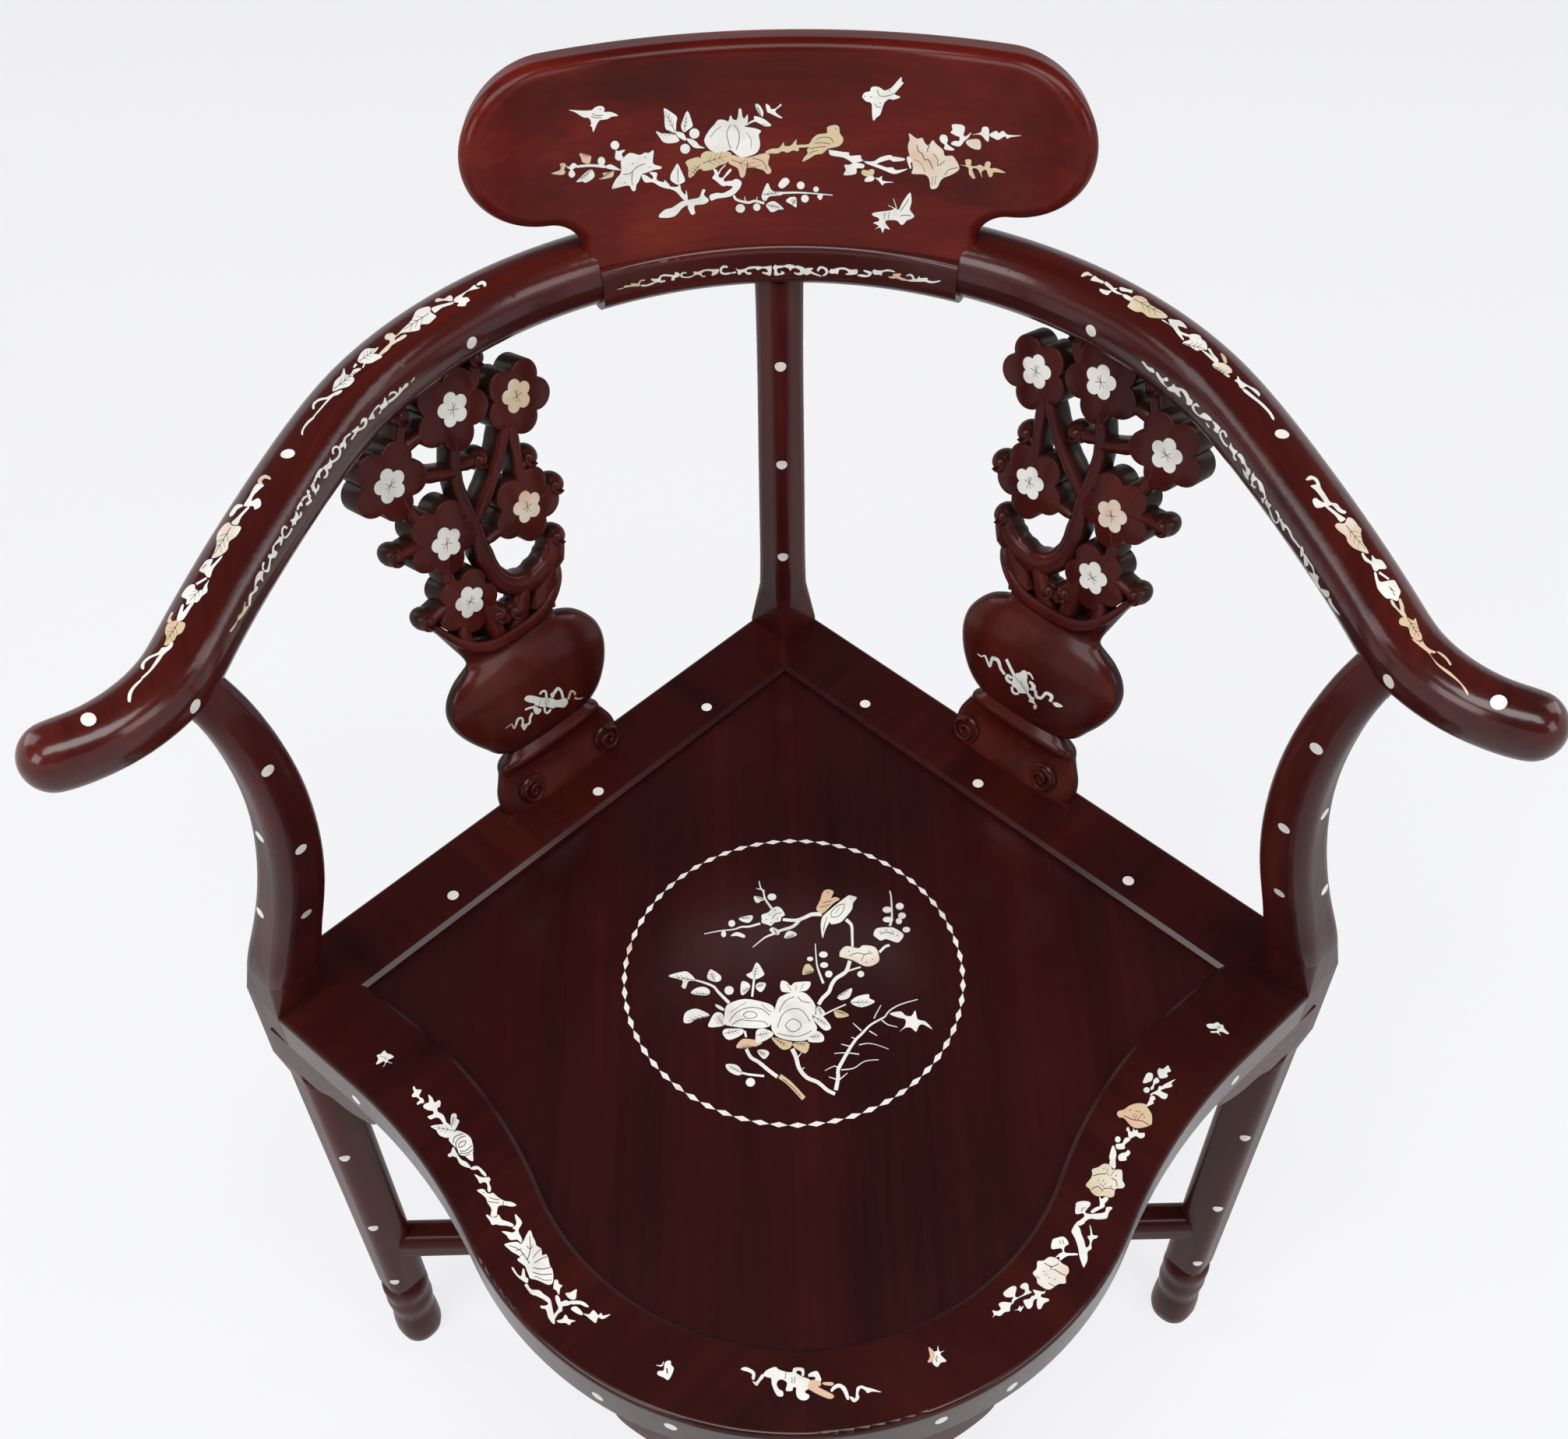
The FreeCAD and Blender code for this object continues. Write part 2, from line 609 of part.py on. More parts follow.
def block_runs(x, y, below, above):
    """The square block, with short tapers to the sections next to it."""
    square = size("post_square")
    low = (BLOCK_LOW, x, y, square, BLOCK_EASE)
    high = (BLOCK_TOP, x, y, square, BLOCK_EASE)
    return [[below, low], [low, high], [high, above]]


side_low = (372, size("side_leg_x") + 4, size("side_leg_y") + 2, 30, 8)
side_legs = leg_runs(size("side_leg_x"), size("side_leg_y"), Vector(-1, -2, 0), side_low)
side_above = [(482, 295, -30.5, 34, 8), (514, 285.5, -34, 33, 8.5), (560, 272.5, -39.5, 31.2, 9),
              (597, 264.5, -43.5, 30, 9.3), (630, 260, -47, 28.6, 9.5), (660, 258.3, -50.7, 27.4, 9.6),
              (688, 259.3, -54.5, 26.4, 9.8), (708, 261.5, -57.5, 25.8, 10), (730, 266, -61, 25.5, 10),
              (752, 273.5, -64.8, 25, 10), (764, 279, -67, 25, 10)]
side_runs = side_legs + block_runs(SIDE_POST.x, SIDE_POST.y, side_low, side_above[0]) + [side_above]
side_raw = stacked(side_runs)

back_low = (372, 0, size("back_leg_y") + 1, 29.5, 8)
back_legs = leg_runs(0, size("back_leg_y"), Vector(0, -2, 0), back_low)
back_above = [(484, 0, 274, 27, 7.5), (530, 0, 274.2, 26.2, 8), (589, 0, 274.5, 26, 8.4),
              (664, 0, 275, 25.4, 8.8), (710, 0, 275.3, 25.4, 8.8), (size("middle_base"), 0, 275.5, 25.6, 8.8)]
back_raw = stacked(back_legs + block_runs(BACK_POST.x, BACK_POST.y, back_low, back_above[0]) + [back_above])

front_low = (372, 0, size("front_leg_y") - 1, 29.5, 8)
front_legs = leg_runs(0, size("front_leg_y"), Vector(0, 2, 0), front_low)
front_block_low = (BLOCK_LOW, 0, FRONT_POST.y, size("post_square"), BLOCK_EASE)
front_block = [[front_low, front_block_low],
               [front_block_low, (RAIL_BASE, 0, FRONT_POST.y, size("post_square"), BLOCK_EASE)]]
front_raw = stacked(front_legs + front_block)

# Arms: rounded sections swept round the back, past the side post and out in a curl
NECK = size("yoke_joint")


def yoke_path(step_count=9):
    """Points of the arm's middle line with their headings, right-hand side."""
    height = size("arm_height")
    radius = size("yoke_radius")
    middle = Vector(0, size("yoke_center"), height)
    stations = []
    for i in range(step_count):
        turn = math.radians(NECK + (size("yoke_end") - NECK) * i / (step_count - 1.0))
        spot = middle + Vector(math.sin(turn), math.cos(turn), 0) * radius
        stations.append((spot, Vector(math.cos(turn), -math.sin(turn), 0)))
    spot = stations[-1][0]
    heading = 90 - size("yoke_end")
    side = size("side_radius")
    center = spot - Vector(math.cos(math.radians(heading)), math.sin(math.radians(heading)), 0) * side
    for share in (0.33, 0.67, 1.0):
        turn = math.radians(heading + (size("side_heading") - heading) * share)
        outward = Vector(math.cos(turn), math.sin(turn), 0)
        stations.append((center + outward * side, Vector(math.sin(turn), -math.cos(turn), 0)))
    start = math.radians(size("side_heading"))
    spot, heading = stations[-1]
    stations.append((spot + heading * size("side_straight"), heading))
    curl = size("curl_radius")
    center = stations[-1][0] + Vector(math.cos(start), math.sin(start), 0) * curl
    for share in (0.2, 0.4, 0.6, 0.8, 1.0):
        turn = math.radians(size("side_heading") + (size("curl_heading") - size("side_heading")) * share)
        inward = Vector(-math.cos(turn), -math.sin(turn), 0)
        stations.append((center + inward * curl, Vector(math.sin(turn), -math.cos(turn), 0)))
    return stations


ARM_WIDE = [(0, 40), (0.33, 38.5), (0.62, 36), (0.72, 35), (0.83, 34.5), (0.93, 32.5), (1.0, 31)]
ARM_HIGH = [(0, 38), (0.33, 37), (0.62, 34.5), (0.72, 34), (0.83, 33), (0.93, 31), (1.0, 30)]


def between(table, share):
    for (a, low), (b, high) in zip(table, table[1:]):
        if share <= b:
            return low + (high - low) * (share - a) / (b - a)
    return table[-1][1]


def oval_wire(spot, heading, wide, high):
    """A full, slightly squared oval across the arm's path."""
    across = Vector(heading.y, -heading.x, 0)
    power = 2 / 2.35
    spots = []
    for i in range(20):
        angle = 2 * math.pi * i / 20
        c, s = math.cos(angle), math.sin(angle)
        flat = math.copysign(abs(c) ** power, c) * wide / 2
        rise = math.copysign(abs(s) ** power, s) * high / 2
        spots.append(spot + across * flat + UP * rise)
    curve = Part.BSplineCurve()
    curve.interpolate(Points=spots, PeriodicFlag=True)
    return Part.Wire([curve.toShape()])


def arm_solid():
    stations = yoke_path()
    lengths = [0.0]
    for (a, _), (b, _) in zip(stations, stations[1:]):
        lengths.append(lengths[-1] + (b - a).Length)
    total = lengths[-1]
    wires = []
    for (spot, heading), done in zip(stations, lengths):
        share = done / total
        wires.append(oval_wire(spot, heading, between(ARM_WIDE, share), between(ARM_HIGH, share)))
    spot, heading = stations[-1]
    cap = size("curl_cap")
    for part in (0.35, 0.62, 0.82, 0.94, 0.985):
        shrink = math.sqrt(1 - part ** 2)
        wires.append(oval_wire(spot + heading * (cap * part), heading, ARM_WIDE[-1][1] * shrink,
                               ARM_HIGH[-1][1] * shrink))
    return outward(Part.makeLoft(wires, True, False))


arm_raw = arm_solid()
tongue_center = Vector(0, size("yoke_center"), 0)
neck_turn = math.radians(NECK)
tongue_spot = tongue_center + Vector(math.sin(neck_turn), math.cos(neck_turn), 0) * size("yoke_radius")
tongue_spot.z = 752
yoke_tongue = block("yoke_tongue", ("sizes.yoke_tongue_long", "sizes.yoke_tongue_thick", "sizes.yoke_tongue_high"),
                    tongue_spot, -NECK)
post_tenon = block("tenon_side_post", ("sizes.post_tenon", "sizes.post_tenon", "30"), Vector(274, -64.5, 747), 45)

# Middle rail of the back: a bent bar between the arms, with a level glue face on top
middle_body = body_at("middle_rail_body", Placement(Vector(0, size("yoke_center"), 0), Rotation()))
section = sketch_on(middle_body, "middle_rail_section", "YZ_Plane")
NEAR = "sizes.yoke_radius - sizes.middle_wide / 2"
FAR = "sizes.yoke_radius + sizes.middle_wide / 2"
LOW = "sizes.middle_base"
HIGH = "sizes.middle_base + sizes.middle_high"
polygon(section, [(NEAR, LOW), (FAR, LOW), (FAR, HIGH), (NEAR, HIGH)])
bend = middle_body.newObject("PartDesign::Revolution", "middle_rail_bend")
bend.Profile = section
bend.ReferenceAxis = (section, ["V_Axis"])
bend.setExpression("Angle", "2 * sizes.yoke_joint")
bend.Midplane = True
document.recompute()


def under_middle(edge):
    ends = [vertex.Point.z for vertex in edge.Vertexes]
    return max(abs(z - size("middle_base")) for z in ends) < 0.1 and edge.Length > 100


def over_middle(edge):
    ends = [vertex.Point.z for vertex in edge.Vertexes]
    return min(ends) > size("middle_base") + size("middle_high") - 0.1 and edge.Length > 100


bend_round = dressed(middle_body, "Fillet", "middle_rail_round", bend, under_middle, "Radius", "sizes.middle_round")
dressed(middle_body, "Fillet", "middle_rail_ease", bend_round, over_middle, "Radius", "sizes.middle_ease")

# Headboard: a hollow board with two lobes, drawn upright and then leant back
lean = Rotation(Vector(1, 0, 0), -size("head_lean"))
head_body = body_at("headboard_blank", Placement(Vector(0, size("head_front"), size("head_base")), lean))
outline = sketch_on(head_body, "headboard_outline", "XZ_Plane")
neck = size("head_neck")
fillet = size("head_fillet")
lobe = Vector(size("lobe_x"), size("lobe_up"), 0)
lobe_radius = size("lobe_radius")
fillet_x = neck + fillet
fillet_y = lobe.y - math.sqrt((lobe_radius + fillet) ** 2 - (fillet_x - lobe.x) ** 2)
fillet_middle = Vector(fillet_x, fillet_y, 0)
kiss = lobe + (fillet_middle - lobe) * (lobe_radius / (lobe_radius + fillet))
crown = lobe + Vector(0, lobe_radius, 0)
far_side = lobe + Vector(lobe_radius, 0, 0)
neck_top = Vector(neck, fillet_y, 0)
bite = fillet_middle + ((neck_top - fillet_middle) + (kiss - fillet_middle)).normalize() * fillet
foot = Vector(neck, 4, 0)
outline.addGeometry(Part.LineSegment(foot, neck_top), False)
outline.addGeometry(Part.Arc(neck_top, bite, kiss), False)
outline.addGeometry(Part.Arc(kiss, far_side, crown), False)
outline.addGeometry(Part.LineSegment(crown, flip(crown)), False)
outline.addGeometry(Part.Arc(flip(crown), flip(far_side), flip(kiss)), False)
outline.addGeometry(Part.Arc(flip(kiss), flip(bite), flip(neck_top)), False)
outline.addGeometry(Part.LineSegment(flip(neck_top), flip(foot)), False)
outline.addGeometry(Part.LineSegment(flip(foot), foot), False)
for item in (2, 4):
    row = outline.addConstraint(Sketcher.Constraint("Radius", item, lobe_radius))
    outline.setExpression("Constraints[%d]" % row, "sizes.lobe_radius")
head_pad = padded(head_body, "headboard_board", outline, "sizes.head_hollow", both_ways=True)
face_sketch = sketch_on(head_body, "headboard_face", "XY_Plane")
circle(face_sketch, "-sizes.head_hollow", "sizes.head_hollow")
pocketed(head_body, "headboard_hollow", face_sketch, "2 * sizes.head_hollow", both_ways=True)
rear_sketch = sketch_on(head_body, "headboard_rear", "XY_Plane")
circle(rear_sketch, "-sizes.head_hollow", "sizes.head_hollow + sizes.head_thick")
beyond = "1.6 * sizes.head_hollow"
before = "-(2.7 * sizes.head_hollow)"
around = [("-(%s)" % beyond, before), (beyond, before), (beyond, "0.8 * sizes.head_hollow"),
          ("-(%s)" % beyond, "0.8 * sizes.head_hollow")]
polygon(rear_sketch, around)
head_rear = pocketed(head_body, "headboard_back", rear_sketch, "2 * sizes.head_hollow", both_ways=True)

base_shape = head_rear.Shape
rim_names = []
for i, edge in enumerate(base_shape.Edges):
    middle = edge.valueAt((edge.FirstParameter + edge.LastParameter) / 2)
    depth = math.hypot(middle.x, middle.y + size("head_hollow"))
    on_face = abs(depth - size("head_hollow")) < 0.05 or abs(depth - size("head_hollow") - size("head_thick")) < 0.05
    if on_face and middle.z > 4.5:
        rim_names.append("Edge%d" % (i + 1))
head_edge = head_body.newObject("PartDesign::Fillet", "headboard_round")
head_edge.Base = (head_rear, rim_names)
head_edge.setExpression("Radius", "sizes.head_round")
document.recompute()
GLUE = size("middle_base") + size("middle_high")
below_glue = block("headboard_foot_cut", ("400", "300", "40"), Vector(0, 250, GLUE - 20))
arm_tool = feature("arm_tool", arm_raw)
arm_tool_left = document.addObject("Part::Mirroring", "arm_tool_left")
arm_tool_left.Source = arm_tool
arm_tool_left.Normal = Vector(1, 0, 0)

dowel_objects = []
apart = size("dowel_apart")
for i, (x, y) in enumerate([(-apart, 262), (0, 270), (apart, 262)]):
    dowel = document.addObject("Part::Cylinder", "dowel_%d" % (i + 1))
    dowel.setExpression("Radius", "sizes.dowel_size / 2")
    dowel.setExpression("Height", "sizes.dowel_long")
    dowel.Placement = Placement(Vector(x, y, GLUE - size("dowel_long") / 2), Rotation())
    dowel_objects.append(dowel)
keep("headboard_dowels", united("headboard_dowel_set", *dowel_objects))
head_cut = reduced("headboard_cut", head_body, below_glue, arm_tool, arm_tool_left, pieces["headboard_dowels"])
keep("headboard", head_cut)
back_post_tenon = block("tenon_back_post", ("sizes.back_tenon", "sizes.back_tenon", "32"),
                        Vector(0, 275, size("middle_base")), 45)

# Splats: a carved vase with a blossoming tree, drawn flat, then leant outwards
splat_lean = math.radians(size("splat_lean"))
SPLAT_U = Vector(diagonal, -diagonal, 0)
SPLAT_V = OUTWARD * math.sin(splat_lean) + UP * math.cos(splat_lean)
SPLAT_FACING = UP * math.sin(splat_lean) - OUTWARD * math.cos(splat_lean)
SPLAT_PLACE = Placement(FreeCAD.Matrix(SPLAT_U.x, SPLAT_V.x, SPLAT_FACING.x, splat_foot.x,
                                       SPLAT_U.y, SPLAT_V.y, SPLAT_FACING.y, splat_foot.y,
                                       SPLAT_U.z, SPLAT_V.z, SPLAT_FACING.z, splat_foot.z,
                                       0, 0, 0, 1))
VASE = [(35, 125), (50, 112), (58, 100), (60, 84), (56, 68), (48, 56), (33, 43), (15, 35), (-12, 34), (-30, 39),
        (-46, 56), (-54, 72), (-55, 85), (-52, 99), (-42, 112), (-31, 121), (0, 124)]
RIM = [(49, 154), (50, 142), (38, 127), (18, 119), (-7, 115), (-26, 117), (-38, 130), (-47, 144), (-40, 150),
       (-22, 136), (0, 131), (22, 136), (38, 148)]
FOOT_RING = [(36, 44), (46, 35), (49, 24), (46, 10), (36, -6), (0, -7), (-40, -7), (-52, 8), (-51, 21), (-40, 33),
             (-24, 40), (6, 38)]
BLOSSOMS = [(-48, 262), (-4, 276), (46, 257), (-32, 197), (27, 208), (26, 162)]
PEARLS = [(-47, 264), (-5, 277), (47, 256), (-32, 197), (26, 205), (25, 162)]
BUDS = [(54, 212), (-15, 239), (-48, 224), (-60, 196), (-51, 162), (51, 163), (27, 288), (-30, 297), (60, 184)]
BRANCHES = [
    (12, [(-47, 160), (-38, 149), (-22, 142), (-9, 149), (0, 168), (3, 189), (3, 207), (5, 227), (3, 243),
          (-1, 262)]),
    (10, [(3, 205), (-10, 217), (-21, 229), (-31, 243), (-38, 256)]),
    (9, [(-30, 203), (-36, 221), (-38, 240), (-40, 254)]),
    (9, [(8, 272), (30, 270), (40, 262)]),
    (9, [(5, 240), (20, 246), (33, 252)]),
    (9, [(42, 247), (40, 232), (34, 216)]),
    (9, [(0, 190), (-14, 192), (-26, 195)]),
    (9, [(3, 200), (16, 204)]),
    (9, [(26, 200), (32, 184), (28, 170)]),
    (9, [(22, 160), (12, 150), (2, 140)]),
    (8, [(28, 168), (40, 168), (50, 164)]),
    (8, [(32, 190), (46, 188), (58, 185)]),
    (8, [(34, 210), (44, 212), (53, 212)]),
    (8, [(-34, 196), (-48, 197), (-59, 196)]),
    (8, [(-36, 221), (-47, 224)]),
    (9, [(27, 286), (33, 275), (40, 264)]),
    (9, [(-28, 296), (-24, 284), (-10, 276)]),
    (8, [(-22, 236), (-12, 242), (0, 246)]),
    (9, [(-38, 144), (-48, 156), (-52, 164)]),
    (9, [(38, 146), (30, 154), (24, 160)]),
]


def plate(wire, thick, depth):
    """A plate behind the splat's face, from a depth below it."""
    return prism(wire, -depth - thick, thick)


def disc(u, v, radius, thick, depth):
    return Part.makeCylinder(radius, thick, Vector(u, v, -depth - thick))


def spline_plate(spots, thick, depth):
    """A plate inside a closed smooth outline."""
    curve = Part.BSplineCurve()
    curve.interpolate(Points=[Vector(u, v, 0) for u, v in spots], PeriodicFlag=True)
    return plate(Part.Wire([curve.toShape()]), thick, depth)


def blossom(u, v, reach, petal, thick, depth, turn=0):
    """Five round petals about a middle."""
    parts = [disc(u, v, reach * 0.8, thick, depth)]
    for i in range(5):
        angle = math.radians(90 + turn + 72 * i)
        parts.append(disc(u + reach * math.cos(angle), v + reach * math.sin(angle), petal, thick, depth))
    return parts[0].fuse(parts[1:]).removeSplitter()


def branch(width, spots, thick, depth):
    """Round-ended strokes along a run of points."""
    half = width / 2.0
    parts = [disc(u, v, half, thick, depth) for u, v in spots]
    for (a, b), (c, d) in zip(spots, spots[1:]):
        along = Vector(c - a, d - b, 0)
        across = Vector(-along.y, along.x, 0).normalize() * half
        corners = [Vector(a, b, 0) + across, Vector(a, b, 0) - across, Vector(c, d, 0) - across,
                   Vector(c, d, 0) + across]
        parts.append(plate(Part.makePolygon(corners + corners[:1]), thick, depth))
    return parts[0].fuse(parts[1:])


full = size("splat_thick")
thin = size("branch_thick")
step = (full - thin) / 2
vase = spline_plate(VASE, full, 0)
rounded = [edge for edge in vase.Edges if edge.BoundBox.ZLength < 0.1]
vase = vase.makeFillet(size("vase_round"), rounded)
splat_parts = [vase, spline_plate(RIM, full - 2, 1), spline_plate(FOOT_RING, full, 0)]
splat_parts += [blossom(u, v, 12.2, 9.3, full - 2, 1) for u, v in BLOSSOMS]
splat_parts += [branch(width, spots, thin, step) for width, spots in BRANCHES]
splat_parts += [disc(u, v, 6, thin + 2, step - 1) for u, v in BUDS]
splat_flat = splat_parts[0].fuse(splat_parts[1:]).removeSplitter()
stalk = Part.makeBox(40, 34, thin, Vector(-20, 284, -step - thin))
splat_flat = splat_flat.fuse(stalk).removeSplitter()
plates = []
for u, v in PEARLS:
    plates.append(blossom(u, v, 5.4, 4.4, size("shell_thick"), 0.7))
plate_set = Part.makeCompound(plates)
splat_flat = biggest(splat_flat.cut(plate_set))


def leant(shape):
    """Set a flat shape up at the splat's place."""
    moved = shape.copy()
    moved.Placement = SPLAT_PLACE
    return moved


splat_raw = leant(splat_flat)
floor_of_splat = Part.makeBox(400, 400, 60, Vector(0, 0, SEAT - 60))
splat_raw = biggest(splat_raw.cut(floor_of_splat).cut(arm_raw))
top_middle = splat_foot + SPLAT_V * 297 - SPLAT_FACING * (full / 2)
top_tenon = block("tenon_splat_top", ("26", "24", "sizes.splat_tenon_thick"), top_middle, lean=SPLAT_PLACE.Rotation)
splat_core = feature("splat_core", splat_raw)
splat_right = keep("splat_right", united("splat_with_tenons", splat_core, splat_foot_tenon, top_tenon))
mirrored("splat_left", splat_right)
pearl_right = keep("splat_blossoms_right", feature("splat_pearls", leant(plate_set)))
mirrored("splat_blossoms_left", pearl_right)

# Stretchers: two rounded bars halved into each other, tenoned into the legs
BAR_LOW = size("bar_center") - size("bar_high") / 2


def stretcher(name, role, length_from, length_to, wide_at):
    """A rounded bar along X (role YZ) or Y (role XZ)."""
    body = body_at(name + "_body", Placement(Vector(0, 0, 0), Rotation()))
    outline = sketch_on(body, name + "_section", role, length_from)
    near = "%s - sizes.bar_wide / 2" % wide_at
    far = "%s + sizes.bar_wide / 2" % wide_at
    low = "sizes.bar_center - sizes.bar_high / 2"
    high = "sizes.bar_center + sizes.bar_high / 2"
    polygon(outline, [(near, low), (far, low), (far, high), (near, high)])
    pad = padded(body, name + "_bar", outline, str(length_to - length_from))
    long_edge = abs(length_to - length_from) - 1
    dressed(body, "Fillet", name + "_round", pad, lambda edge: edge.Length > long_edge, "Radius", "sizes.bar_round")
    return body


reach_side = size("side_leg_x") + 4
side_bar = stretcher("stretcher_side", "YZ_Plane", -reach_side, reach_side, "sizes.side_leg_y")
long_bar = stretcher("stretcher_long", "XZ_Plane", -size("back_leg_y") - 2, -size("front_leg_y") + 2, "0")
half_high = "sizes.bar_high / 2 + 1"
quarter_up = (size("bar_high") / 2 + 1) / 2
lap_top = block("lap_upper", ("sizes.bar_wide", "sizes.bar_wide", half_high),
                Vector(0, size("side_leg_y"), size("bar_center") + quarter_up))
lap_low = block("lap_lower", ("sizes.bar_wide", "sizes.bar_wide", half_high),
                Vector(0, size("side_leg_y"), size("bar_center") - quarter_up))
BAR_TENON = ("sizes.bar_tenon_long", "sizes.bar_tenon_wide", "sizes.bar_tenon_high")
bar_tenon_side = block("tenon_bar_side", BAR_TENON, Vector(size("side_leg_x") - 15, size("side_leg_y"),
                                                            size("bar_center")))
bar_tenon_side_left = block("tenon_bar_side_left", BAR_TENON, Vector(15 - size("side_leg_x"), size("side_leg_y"),
                                                                      size("bar_center")))
bar_tenon_front = block("tenon_bar_front", BAR_TENON, Vector(0, size("front_leg_y") + 15, size("bar_center")), 90)
bar_tenon_back = block("tenon_bar_back", BAR_TENON, Vector(0, size("back_leg_y") - 15, size("bar_center")), 90)

# Dots of shell, let in flush wherever a line meets the wood
dots = {}


def dot_at(group, wood, spot, direction):
    """Cut a round socket where the line from spot along direction first meets the wood."""
    reach = 0.0
    while not wood.isInside(spot + direction * reach, 0.001, False):
        reach += 1.5
        if reach > 130:
            raise RuntimeError("a dot of %s misses the wood" % group)
    outside = reach - 1.5
    for _ in range(16):
        halfway = (outside + reach) / 2
        if wood.isInside(spot + direction * halfway, 0.001, False):
            reach = halfway
        else:
            outside = halfway
    hit = spot + direction * reach
    face = min(wood.Faces, key=lambda face: face.distToShape(Part.Vertex(hit))[0])
    u, v = face.Surface.parameter(hit)
    normal = face.normalAt(u, v)
    if normal.dot(direction) > 0:
        normal = normal * -1
    socket = Part.makeCylinder(size("dot_size") / 2, 7, hit - normal * size("shell_thick"), normal)
    dots.setdefault(group, []).append(socket.common(wood))
    return socket


def with_dots(group, wood, spots):
    """Let a set of dots into a piece of wood and return the wood with its sockets."""
    sockets = [dot_at(group, wood, spot, direction) for spot, direction in spots]
    return wood.cut(sockets)


TO_THE_BACK = Vector(0, 1, 0)
DOWN = Vector(0, 0, -1)
inner_face = Vector(diagonal, diagonal, 0)
outer_face = Vector(-diagonal, diagonal, 0)


def facing(x, y, z, direction):
    return Vector(x, y, z) - direction * 60, direction


side_dots = [facing(260, -57, 690, inner_face), facing(263, -46, 618, inner_face), facing(276, -38, 553, inner_face),
             facing(263, -48, 628, outer_face), facing(282, -36, 548, outer_face),
             facing(294, -34, 285, TO_THE_BACK), facing(293, -34, 187, TO_THE_BACK),
             facing(292.4, -34, 103, TO_THE_BACK)]
side_wood = with_dots("posts", side_raw.cut(arm_raw), side_dots)
side_core = feature("side_post_core", biggest(side_wood))
back_wood = with_dots("posts_middle", back_raw, [facing(0, 275, z, TO_THE_BACK) for z in (677, 601, 522)])
back_core = feature("back_post_core", back_wood)

arm_dots = [(Vector(246, 68, 830), DOWN), (Vector(312, -92, 830), DOWN),
            (Vector(110, 118, 757), Vector(math.sin(math.radians(43)), math.cos(math.radians(43)), 0)),
            (Vector(230, -110, 755), Vector(0.8, 0.6, 0))]
arm_wood = with_dots("arms", arm_raw, arm_dots)
arm_core = feature("arm_core", arm_wood)

back_rail_shape = shape_of(rail_body)
rail_dots = [(Vector(x, y, SEAT + 30), DOWN) for x, y in ((53.5, 190), (123, 118), (208.5, 37))]
rail_sockets = [dot_at("rails", back_rail_shape, spot, direction) for spot, direction in rail_dots]
rail_socket_set = feature("back_rail_sockets", Part.makeCompound(rail_sockets))
outward_front = Vector(math.sin(slope), -math.cos(slope), 0)
edge_spot = FRONT_CORNER + Vector(-math.cos(slope), -math.sin(slope), 0) * 64 + outward_front * 40
front_dots = [(Vector(edge_spot.x, edge_spot.y, RAIL_BASE + 9), outward_front * -1)]
for x, z in ((68, 437), (106, 431)):
    front_dots.append((Vector(x, -330, z), TO_THE_BACK))
front_sockets = [dot_at("rails", front_solid, spot, direction) for spot, direction in front_dots]
front_socket_set = feature("front_rail_sockets", Part.makeCompound(front_sockets))


def dot_plates(group, both_sides=True):
    """The shell plates of a group of dots."""
    plates = []
    for plate in dots[group]:
        plates.append(biggest(plate))
        if both_sides:
            plates.append(biggest(plate).mirror(Vector(0, 0, 0), Vector(1, 0, 0)))
    return plates


keep("dots_arms", feature("dots_arm_plates", Part.makeCompound(dot_plates("arms"))))
post_plates = dot_plates("posts") + dot_plates("posts_middle", both_sides=False)
keep("dots_posts", feature("dots_post_plates", Part.makeCompound(post_plates)))
keep("dots_rails", feature("dots_rail_plates", Part.makeCompound(dot_plates("rails"))))

# Final pieces with their tenons and mortises
full_rail = united("back_rail_with_tenons", rail_body, tenon_back_rail_rear, tenon_back_rail_side)
back_rail = reduced("back_rail_final", full_rail, rail_socket_set, splat_foot_tenon, battens["back"],
                    tongue_rear, tongue_side_back)
keep("back_rail_right", back_rail)
mirrored("back_rail_left", back_rail)

full_front = united("front_rail_with_tenon", front_blank, tenon_front_rail)
front_rail = reduced("front_rail_final", full_front, front_socket_set, battens["front"], rail_key, leg_tenon,
                     tongue_side_front, tongue_front)
keep("front_rail_right", front_rail)
mirrored("front_rail_left", front_rail)

side_full = united("side_post_with_tenon", side_core, post_tenon)
side_post = reduced("side_post_final", side_full, tenon_back_rail_side, tenon_front_rail, bar_tenon_side)
keep("side_post_right", side_post)
mirrored("side_post_left", side_post)

tenon_rear_left = document.addObject("Part::Mirroring", "tenon_back_rail_rear_left")
tenon_rear_left.Source = tenon_back_rail_rear
tenon_rear_left.Normal = Vector(1, 0, 0)
back_full = united("back_post_with_tenon", back_core, back_post_tenon)
keep("back_post", reduced("back_post_final", back_full, tenon_back_rail_rear, tenon_rear_left, bar_tenon_back))

front_core = feature("front_leg_core", front_raw)
front_full = united("front_leg_with_tenon", front_core, leg_tenon)
keep("front_leg", reduced("front_leg_final", front_full, bar_tenon_front))

arm = reduced("arm_final", arm_core, yoke_tongue, post_tenon, top_tenon)
keep("arm_right", arm)
mirrored("arm_left", arm)

yoke_tongue_left = document.addObject("Part::Mirroring", "yoke_tongue_left")
yoke_tongue_left.Source = yoke_tongue
yoke_tongue_left.Normal = Vector(1, 0, 0)
keep("yoke_tenons", united("yoke_tongues", yoke_tongue, yoke_tongue_left))
keep("yoke_center", reduced("yoke_center_final", middle_body, pieces["yoke_tenons"], back_post_tenon,
                            pieces["headboard_dowels"]))

